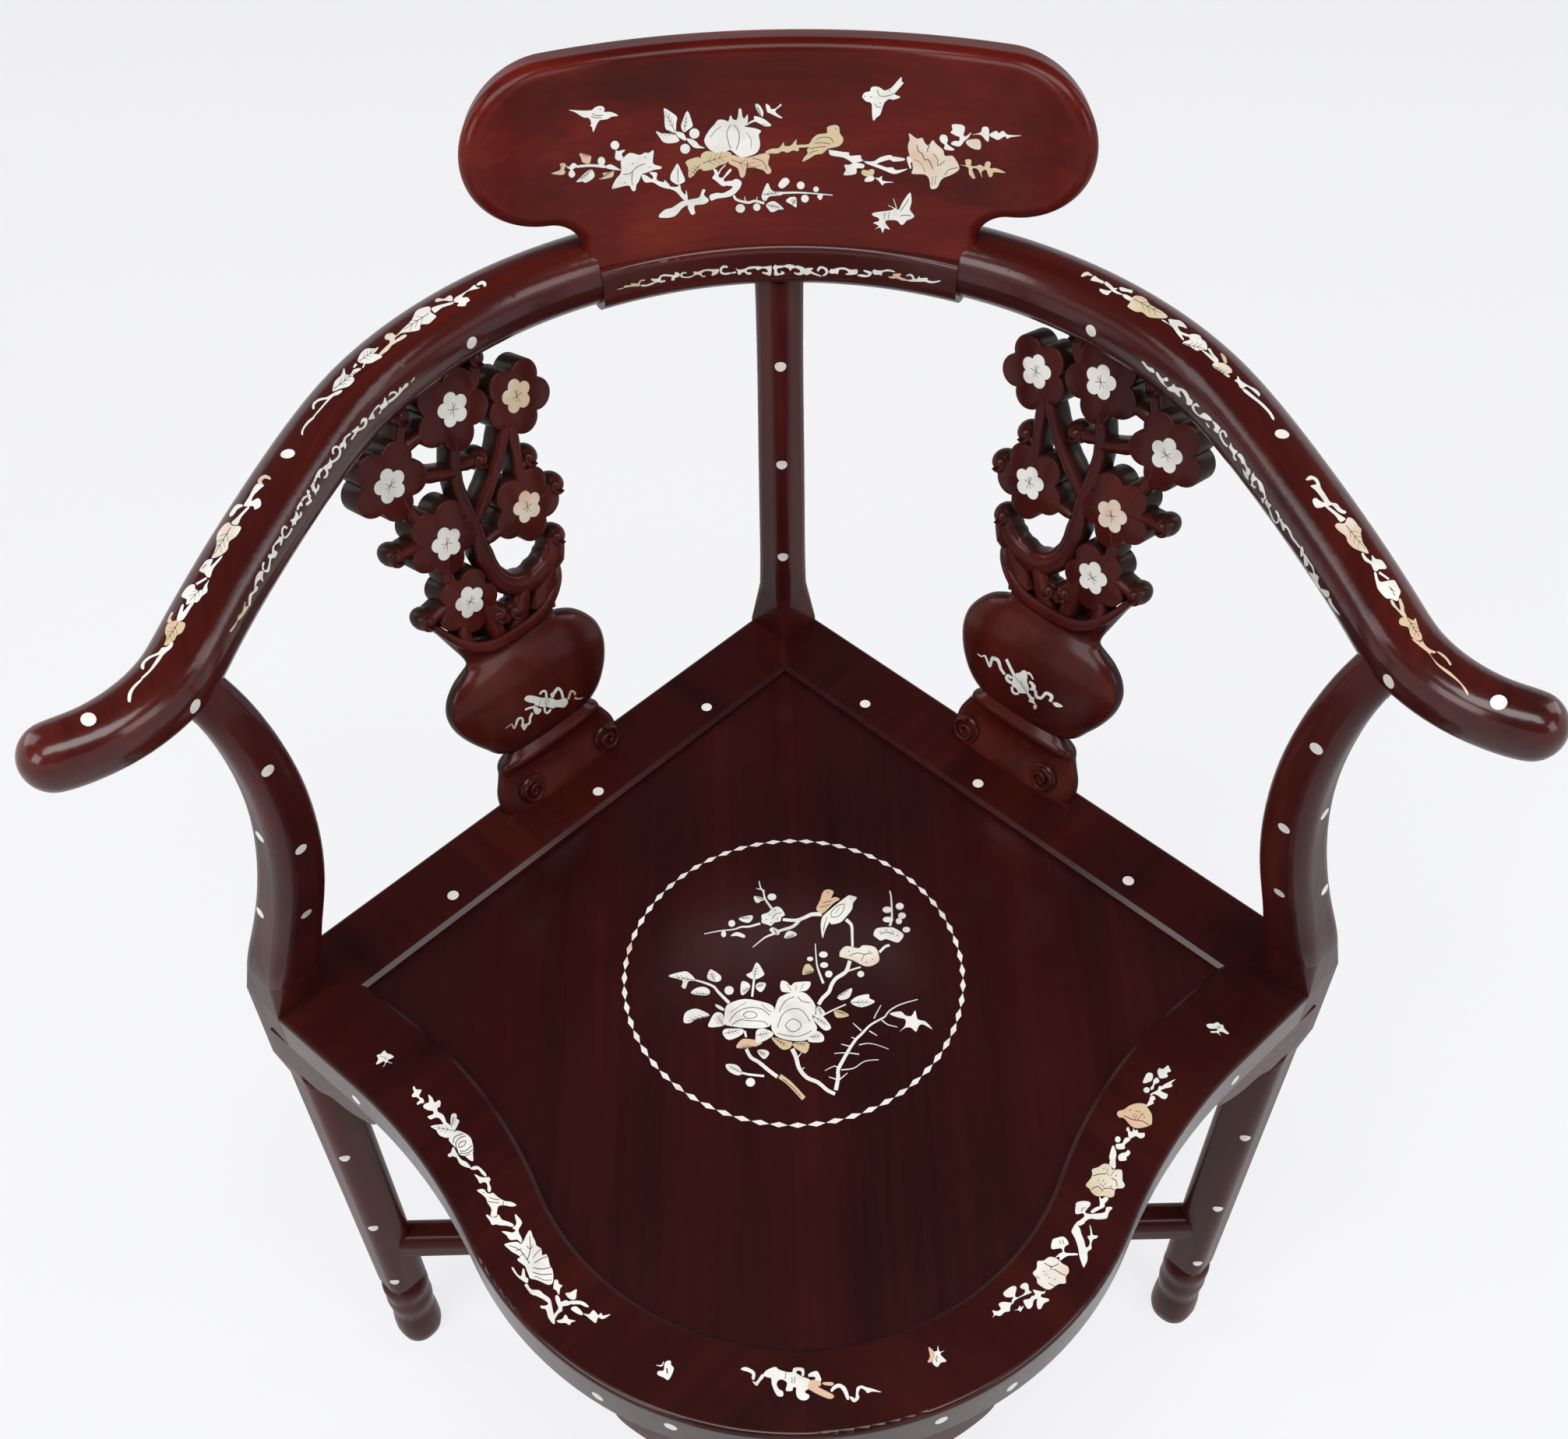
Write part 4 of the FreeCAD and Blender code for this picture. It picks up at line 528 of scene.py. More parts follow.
SECTION_SIDES, SECTION_STEPS, RISE_CURVE = 64, 3, 2.4
# Each scroll's place and the way it turns, and its boss: radius and n
VOLUTES = [(-34, 9.5, 1), (29, 11, -1)]
VOLUTE_BOSS = ((8, -18), (10.4, -17), (10.4, -1.8), (9.4, -0.6), (6, -0.9))
VOLUTE_RADIUS, VOLUTE_POINTS = 8.8, 13
# The real chair's carvings stand a little aside: the shift in u and v, which grows up to a height
SPLAT_SHIFT = {"right": (-4.6, 1.7), "left": (4.5, -3.0)}
SHIFT_HEIGHT = 200


def evened(rows):
    """Rows of numbers with evenly curved steps between them."""
    smooth = []
    for i in range(len(rows) - 1):
        near = rows[max(i - 1, 0)], rows[i], rows[i + 1], rows[min(i + 2, len(rows) - 1)]
        for t in (step / SECTION_STEPS for step in range(SECTION_STEPS)):
            smooth.append([(2 * b + (c - a) * t + (2 * a - 5 * b + 4 * c - d) * t * t
                            + (3 * b - a - 3 * c + d) * t ** 3) / 2 for a, b, c, d in zip(*near)])
    return smooth + [list(rows[-1])]


def set_aside(shape, side):
    """Moves a splat's carving or shell by the shift of its side."""
    for vertex in shape.verts:
        share = min(max(vertex.co.y / SHIFT_HEIGHT, 0), 1)
        vertex.co.x += SPLAT_SHIFT[side][0] * share
        vertex.co.y += SPLAT_SHIFT[side][1] * share


def splat_place(side):
    """The splat's frame in the chair, in metres; the left splat is the right one mirrored."""
    u = Vector((1, -1, 0)).normalized()
    outward = Vector((1, 1, 0)).normalized()
    v = outward * math.sin(SPLAT_LEAN) + Vector((0, 0, 1)) * math.cos(SPLAT_LEAN)
    n = u.cross(v)
    place = Matrix((u, v, n)).transposed().to_4x4()
    place.translation = SPLAT_FOOT
    mirror = Matrix.Diagonal((1 if side == "right" else -1, 1, 1, 1))
    return Matrix.Scale(MM, 4) @ mirror @ place


class Carving:
    """One splat's carved wood, in the splat's own frame until it is finished."""

    def __init__(self):
        self.shape = bmesh.new()

    def loft(self, rings, segments, square=1.0, lifts=None):
        """A closed body through a run of unit circles, each squared a little, set by its matrix and raised at
        its left and right end."""
        loops = []
        for number, ring in enumerate(rings):
            made = bmesh.ops.create_circle(self.shape, segments=segments, radius=1)["verts"]
            for vertex in made:
                x, y = vertex.co.x, vertex.co.y
                squared = Vector((math.copysign(abs(x) ** square, x), math.copysign(abs(y) ** square, y), 0))
                vertex.co = ring @ squared
                if lifts:
                    vertex.co.y += lifts[number][0 if x < 0 else 1] * abs(x) ** RISE_CURVE
            loops.append(list({edge for vertex in made for edge in vertex.link_edges}))
        for below, above in zip(loops, loops[1:]):
            bmesh.ops.bridge_loops(self.shape, edges=below + above)
        for end in (loops[0], loops[-1]):
            bmesh.ops.contextual_create(self.shape, geom=end)

    def stacked(self, sections, square=1.0):
        """Level oval sections, one above the other."""
        rings, lifts = [], []
        rows = [(*section, 0, 0)[:6] for section in sections]
        for v, left, right, half, left_rise, right_rise in evened(rows):
            rings.append(Matrix((((right - left) / 2, 0, 0, (left + right) / 2), (0, 0, 1, v),
                                 (0, half, 0, SPLAT_MIDDLE), (0, 0, 0, 1))))
            lifts.append((left_rise, right_rise))
        self.loft(rings, SECTION_SIDES, square, lifts)

    def swept(self, spots, halves, segments, middle=SPLAT_MIDDLE, square=1.0):
        """A rounded bar along points in the splat's plane; halves gives its half width and half depth at a
        share of the way."""
        line = curve_through(spots, False)
        rings = []
        for i, spot in enumerate(line):
            along = (line[min(i + 1, len(line) - 1)] - line[max(i - 1, 0)]).normalized()
            wide, deep = halves(i / (len(line) - 1))
            rings.append(Matrix(((-along.y * wide, 0, along.x, spot.x), (along.x * wide, 0, along.y, spot.y),
                                 (0, deep, 0, middle), (0, 0, 0, 1))))
        self.loft(rings, segments, square)

    def branch(self, start, end, spots):
        """A gnarled branch with deep flat sides: it narrows towards its end and swells at each knot."""
        knots = len(spots) - 1

        def halves(share):
            knot = (1 + KNOT_SWELL * math.cos(math.tau * share * knots)) * min(1, 0.62 + share * 3)
            return (start + (end - start) * share ** 0.7) / 2 * knot, BRANCH_DEPTH
        self.swept(spots, halves, segments=20, square=0.72)

    def bud(self, u, v):
        """A round bud, half wrapped by a crescent petal."""
        body = bmesh.ops.create_uvsphere(self.shape, u_segments=20, v_segments=12, radius=1)["verts"]
        swell = Matrix.Diagonal((BUD_RADIUS, BUD_RADIUS, BUD_DEPTH, 1))
        bmesh.ops.transform(self.shape, matrix=Matrix.Translation((u, v, SPLAT_MIDDLE)) @ swell, verts=body)
        reach = BUD_RADIUS * BUD_PETAL
        angles = [math.radians(degrees) for degrees in BUD_PETAL_TURN]
        crescent = [(u + reach * math.cos(angle), v + reach * math.sin(angle)) for angle in angles]

        def halves(share):
            return 0.5 + 1.3 * math.sin(math.pi * share), 3.0
        self.swept(crescent, halves, segments=8, middle=-2.6)

    def blossom(self, u, v, size):
        """A thick flower with five round petals and a softened edge."""
        made = bmesh.ops.create_circle(self.shape, segments=BLOSSOM_SIDES, radius=1, cap_ends=True)["verts"]
        for vertex in made:
            angle = math.atan2(vertex.co.y, vertex.co.x)
            reach = flower_reach(angle + math.pi, BLOSSOM_REACH, PETAL_RADIUS) * size
            vertex.co = Vector((u + reach * math.cos(angle), v + reach * math.sin(angle), BLOSSOM_BACK))
        face = made[0].link_faces[0]
        top = bmesh.ops.extrude_face_region(self.shape, geom=[face])["geom"]
        upper = [item for item in top if isinstance(item, bmesh.types.BMVert)]
        bmesh.ops.translate(self.shape, verts=upper, vec=(0, 0, BLOSSOM_DEEP))
        raised = next(item for item in top if isinstance(item, bmesh.types.BMFace))
        bmesh.ops.bevel(self.shape, geom=list(raised.edges), offset=BLOSSOM_EDGE, affect="EDGES", segments=2,
                        profile=0.5, material=-1)

    def volute(self, u, v, turn):
        """A scroll end: a round boss with a raised spiral."""
        self.loft([Matrix(((size, 0, 0, u), (0, size, 0, v), (0, 0, 1, n), (0, 0, 0, 1)))
                   for size, n in VOLUTE_BOSS], segments=32)
        spiral = []
        for i in range(VOLUTE_POINTS):
            angle = math.radians(90 + turn * 45 * i)
            radius = VOLUTE_RADIUS * (1 - i / (VOLUTE_POINTS + 2))
            spiral.append((u + radius * math.cos(angle), v + radius * math.sin(angle)))
        self.swept(spiral, lambda share: (1.25, 1.9), segments=10, middle=-0.6)

    def finish(self, side):
        """Sets the carving in its place, and marks on it how far each spot turns away from the sitter, for the
        painted shade on the carved wood.
        """
        place = splat_place(side)
        facing = (place.to_3x3() @ Vector((0, 0, 1))).normalized()
        set_aside(self.shape, side)
        bmesh.ops.transform(self.shape, matrix=place, verts=self.shape.verts[:])
        bmesh.ops.recalc_face_normals(self.shape, faces=self.shape.faces[:])
        self.shape.normal_update()
        # How far each face turns from the sitter: the mask of the carved wood's painted shade
        edge = self.shape.verts.layers.float.new("side")
        for vertex in self.shape.verts:
            vertex[edge] = min(max(1.15 - 1.5 * vertex.normal.dot(facing), 0), 1)
        return add_piece("carved_splat_" + side, self.shape, materials["carved"])


def flower_reach(angle, reach, petal):
    """How far a flower of five round petals extends at an angle; petal is the radius of one."""
    petal_width = math.tau / 5
    off = (angle - math.pi / 2 + petal_width / 2) % petal_width - petal_width / 2
    return reach * math.cos(off) + math.sqrt(petal * petal - (reach * math.sin(off)) ** 2)


def carved_splat(side):
    """Foot, vase, tree and the block under the arm, in place of the plain splat."""
    carving = Carving()
    carving.stacked(FOOT_SECTIONS, square=0.7)
    carving.stacked(BODY_SECTIONS, square=0.78)
    for u, v, turn in VOLUTES:
        carving.volute(u, v, turn)
    for start, end, spots in BRANCHES:
        carving.branch(start, end, spots)
    for u, v in BUDS:
        carving.bud(u, v)
    for u, v, size in BLOSSOMS:
        carving.blossom(u, v, size)
    carving.stacked(HEAD_SECTIONS)
    piece = carving.finish(side)
    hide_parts("splat_" + side)
    return piece


# Five-petalled shell flowers on the carved blossoms, with a star of fine lines in each
SHELL_FLOWERS = [(-47, 264), (-5, 277), (47, 256), (-32, 197), (26, 205), (25, 162)]
SHELL_REACH, SHELL_PETAL, SHELL_SIDES = 6.0, 4.3, 60
# The lowest and highest n of the shell, of its rim of lac and of the lines in it
SHELL_SPAN, RIM_SPAN, STAR_SPAN = (-2.2, -0.85), (-2.0, -0.93), (-1.0, -0.78)
SHELL_RIM = 0.4
SHELL_TINTS = {"left": (0.55, 0, 0, 0.5, 0, 0), "right": (0, 0, 0.15, 0, 0.4, 0.15)}
STAR = [((-3.6, -1.2), (3.4, 0.8)), ((-0.8, 3.8), (0.6, -4.4)), ((-2.6, 2.4), (2.6, -2.4))]


def slab(shape, outline, low, high, tint=None):
    """A flat outline given thickness in the splat's plane."""
    face = shape.faces.new([shape.verts.new((spot.x, spot.y, low)) for spot in outline])
    made = bmesh.ops.extrude_face_region(shape, geom=[face])["geom"]
    upper = [item for item in made if isinstance(item, bmesh.types.BMVert)]
    bmesh.ops.translate(shape, verts=upper, vec=(0, 0, high - low))
    if tint is not None:
        layer = shape.faces.layers.float["tint"]
        for item in {face for vertex in upper for face in vertex.link_faces}:
            item[layer] = tint


def shell_flowers(side):
    """One splat's shell flowers, and the lac round and in them."""
    plates, lac = bmesh.new(), bmesh.new()
    plates.faces.layers.float.new("tint")
    angles = [math.tau * i / SHELL_SIDES for i in range(SHELL_SIDES)]
    for number, (u, v) in enumerate(SHELL_FLOWERS):
        flower = []
        for angle in angles:
            reach = flower_reach(angle, SHELL_REACH, SHELL_PETAL)
            flower.append(Vector((u + reach * math.cos(angle), v + reach * math.sin(angle), 0)))
        slab(plates, flower, *SHELL_SPAN, SHELL_TINTS[side][number])
        slab(lac, grown(flower, SHELL_RIM), *RIM_SPAN)
        turn = math.radians(25 * (number % 3) - 20)
        for line in STAR:
            ends = [(u + x * math.cos(turn) - y * math.sin(turn), v + x * math.sin(turn) + y * math.cos(turn))
                    for x, y in line]
            slab(lac, band(ends, 0.34, 0.26), *STAR_SPAN)
    for name, shape, material, slot in (("shell_flowers_", plates, materials["inlay"], "shell"),
                                        ("lac_flowers_", lac, materials["filler"], None)):
        set_aside(shape, side)
        bmesh.ops.transform(shape, matrix=splat_place(side), verts=shape.verts[:])
        bmesh.ops.recalc_face_normals(shape, faces=shape.faces[:])
        piece = add_piece(name + side, shape, material)
        if slot:
            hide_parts("splat_blossoms_" + side)


splats = {side: carved_splat(side) for side in ("left", "right")}
for side in splats:
    shell_flowers(side)


# The headboard: birds, plum sprays, twin peaches, a peony and an insect
HEADBOARD_LEFT = Drawing((700, 130), FIFTH, """
plate 150,55 200,58 250,60 298,57 318,40 350,30 375,38 380,55 378,68 410,68 440,75 468,93 430,98 395,115 \
  350,122 330,150 308,198 300,165 288,158 295,140 280,108 250,105 225,92 190,70
dots 4 352,52
line 4 300,80 330,92 370,90
line 4 296,98 330,106 360,104
leaf 0.9 40,462 98,440 92,405 125,398 130,415 120,440 130,455 110,472 60,468
plate 130,410 150,422 172,400 190,398 205,415 190,428 176,438 183,450 192,465 185,482 170,490 155,482 \
  149,465 156,448 162,438 145,430
twig 14 18 200,420 290,412 385,420
leaf 0.9 292,352 268,342 220,335 232,370 240,392 280,402 292,375
bud 24 28 360,385
leaf 0 300,440 262,455 225,490 200,518 240,515 262,522 315,485
leaf 0.9 345,500 375,478 368,462 430,452 440,440 435,480 400,495
plate 385,420 420,405 470,432 490,442 440,440 400,432
bud 28 28 447,282
plate 455,305 462,320 512,312 490,340 500,360 485,380 462,378 448,365 450,335
plate 0.15 490,378 540,332 605,345 640,330 665,332 695,315 690,380 698,405 745,420 738,435 700,440 650,458 \
  620,470 600,515 585,535 578,572 560,575 548,555 530,540 460,556 432,562 430,548 455,498 480,470 488,440 \
  485,400
dots 4 670,422 510,522 440,552 640,360 560,400
line 4 560,450 590,420 640,400
line 4 500,470 540,465 560,450
line 4 560,450 555,500 560,540
plate 618,478 640,472 685,500 690,480 668,458 690,455 718,462 715,505 762,520 765,505 802,545 795,562 \
  740,548 690,520 640,520
plate 848,400 870,440 897,505 880,525 850,535 820,520 803,500 808,465 828,430
line 4 850,430 852,520
plate 803,548 845,550 858,535 868,545 872,570 898,600 905,570 915,632 890,635 840,580 800,562
plate 732,745 735,725 770,695 810,685 850,660 885,640 960,625 990,615 1003,580 1012,565 1028,572 1018,600 \
  1050,635 1020,660 960,668 958,700 962,718 940,728 918,690 912,668 880,685 850,720 825,740 780,748
plate 1055,605 1100,588 1140,590 1190,565 1200,545 1160,540 1160,515 1200,510 1225,498 1258,515 1255,545 \
  1235,575 1190,610 1100,625 1065,638
plate 1072,492 1088,465 1078,435 1095,438 1113,462 1113,485 1140,490 1165,455 1190,432 1192,450 1145,500 \
  1158,520 1160,540 1135,543 1095,510
twig 6 8 1158,408 1125,440 1115,465
plate 0.2 1020,250 1050,190 1085,150 1110,120 1150,120 1175,130 1188,90 1205,115 1230,118 1240,75 1243,48 \
  1258,52 1265,95 1278,110 1300,85 1298,140 1280,162 1340,172 1385,190 1370,215 1378,260 1375,300 1350,335 \
  1280,360 1240,352 1205,325 1185,312 1160,325 1120,332 1080,325 1045,300
line 4 1190,150 1165,200 1175,260 1190,305
line 4 1210,150 1240,190 1245,250 1225,310
line 3 1060,230 1090,190 1130,160
line 3 1290,200 1320,240 1320,300
leaf 1285,160 1315,130 1340,118 1342,95 1400,112 1448,150 1440,160 1400,158 1345,130
leaf 1390,100 1355,50 1350,18 1372,22 1392,50 1400,75
plate 0.3 1415,18 1440,30 1450,50 1480,45 1510,18 1515,28 1475,65 1522,105 1500,105 1440,75 1425,68
leaf 835,200 800,190 770,170 765,90 762,45 800,65 845,100 840,140
leaf 890,198 872,165 880,130 912,62 940,130 945,160 920,180
leaf 835,215 800,205 745,205 710,192 740,240 760,262 800,270 860,255
plate 835,195 885,205 905,245 890,250 850,225
bud 33 33 957,207
bud 32 32 898,305
plate 905,240 945,245 975,265 990,285 1025,300 965,300 935,280
leaf 0.85 1000,400 990,360 940,368 900,390 918,430 920,488 950,478 975,445 1010,425
leaf 0.85 1000,400 1000,345 1040,320 1100,330 1170,325 1195,340 1165,395 1120,410 1080,435 1010,445
leaf 0.85 1180,370 1195,345 1240,355 1300,362 1400,335 1440,345 1430,400 1450,440 1445,462 1420,465 1395,440 \
  1300,425 1290,460 1270,490 1250,480 1235,430 1180,400
line 4 1330,365 1395,385 1425,440
line 4 1300,385 1285,470
twig 16 16 1210,605 1225,630 1270,645 1310,650 1345,640 1405,655
twig 8 3 1285,640 1278,610
twig 8 3 1355,640 1362,612
bud 30 28 1252,688
bud 24 24 1358,680
leaf 0 1390,600 1425,525 1445,560 1470,580 1525,582 1515,602 1440,612 1415,640 1395,630
leaf 0 1418,662 1470,642 1530,690 1500,695 1455,712 1430,690
twig 15 5 1500,590 1600,586 1700,590 1845,603
bud 25 25 1640,540
plate 0.3 1495,540 1520,500 1550,492 1568,515 1550,540 1520,560
bud 18 18 1738,565
bud 25 25 1667,625
leaf 0 1585,665 1612,680 1610,620 1575,615 1545,640
plate 1745,605 1780,600 1775,625 1760,632
""")

HEADBOARD_RIGHT = Drawing((970, 85), FIFTH, """
plate 685,195 700,170 735,160 740,140 760,130 795,135 825,155 855,148 880,130 935,70 938,100 950,108 905,160 \
  895,182 930,198 885,215 860,210 835,225 820,250 800,310 775,330 757,350 748,310 745,240 710,225 690,205
dots 4 700,192 740,197 860,155 800,237
line 4 780,150 800,190 850,190 895,172
line 4 765,240 780,260 805,262
plate 0.8 462,390 505,377 535,388 541,430 562,460 558,490 530,515 465,530 430,560 385,568 345,592 300,612 \
  318,578 335,560 330,535 345,520 275,522 275,505 340,500 365,465 400,438 455,430 460,410
dots 4 515,400
line 4 390,470 430,455 480,460 500,490
line 4 380,495 430,490 480,500
line 4 350,530 400,520 450,515
line 3 340,565 370,548 400,540
plate 0.8 60,555 100,530 150,525 180,488 185,510 225,510 262,470 262,500 275,510 275,545 240,540 205,555 \
  170,545 140,560
plate 470,545 480,538 560,550 600,555 605,575 672,572 678,595 690,605 630,622 600,605 560,585 485,572
plate 690,610 740,612 770,605 800,585 860,570 885,580 950,590 953,605 885,612 860,600 790,620 770,632
plate 700,618 730,632 780,650 830,670 880,690 920,685 978,658 905,668 880,650 840,650 800,635 770,630
plate 970,590 990,580 1012,612 995,620 1000,650 990,655
plate 565,695 580,665 570,635 605,632 635,620 695,630 690,655 650,655 645,690 590,700
plate 0.8 680,690 690,665 720,670 745,660 762,670 755,700 720,710
plate 700,740 710,715 750,705 762,725 740,740
plate 765,715 790,718 812,705 815,735 890,745 830,750 815,765 790,735
plate 0.45 985,430 1035,465 1070,460 1085,490 1110,510 1137,475 1160,500 1205,540 1215,575 1260,575 1285,600 \
  1308,660 1250,700 1210,715 1185,740 1165,780 1125,785 1115,725 1085,695 1005,690 1010,660 1005,620 985,560 \
  978,510 990,470
line 5 1035,505 1040,525 1045,545 1070,560
line 5 1105,550 1105,530 1120,510
line 5 1070,560 1085,600 1110,600 1140,660
line 4 1140,560 1170,600 1170,640 1215,605
line 4 1215,700 1240,665 1300,650
line 3 1150,760 1155,730 1160,700
line 3 1130,770 1135,735 1140,705
line 3 1020,600 1060,620 1090,680
plate 1182,460 1195,440 1225,445 1235,475 1230,500 1278,535 1245,540 1210,530 1215,505 1190,485
plate 1252,425 1265,408 1262,375 1320,375 1345,395 1335,440 1350,450 1385,425 1365,460 1340,480 1310,515 \
  1255,500 1275,480 1305,480 1310,455 1285,445
plate 0.5 1355,500 1360,475 1435,470 1445,530 1400,530
plate 1390,440 1445,425 1455,395 1480,388 1498,405 1498,470 1485,482 1445,440
plate 0.3 1500,440 1545,415 1560,430 1590,415 1620,440 1710,445 1640,455 1615,465 1600,450 1560,472 1535,465
plate 0.75 1312,632 1350,635 1345,605 1365,597 1385,605 1385,640 1420,640 1438,632 1468,645 1475,620 \
  1495,610 1510,625 1505,655 1545,655 1605,685 1530,680 1520,705 1500,710 1480,665 1450,680 1455,715 \
  1425,660 1390,660 1410,715 1395,720 1370,690 1365,650
plate 0.1 750,945 790,935 870,925 895,910 920,920 940,880 988,812 1000,840 1000,880 990,920 1018,960 \
  1000,980 970,990 950,1015 930,1015 905,990 840,990 835,1010 862,1048 830,1040 815,1070 800,1035 765,1048 \
  790,1025 755,1005 790,995 790,975 755,960
line 4 930,930 960,890 985,850
line 4 930,960 965,955 995,960
line 3 860,935 850,985
line 3 830,940 825,985
twig 3 5 850,893 900,915
twig 3 5 885,850 905,910
""")

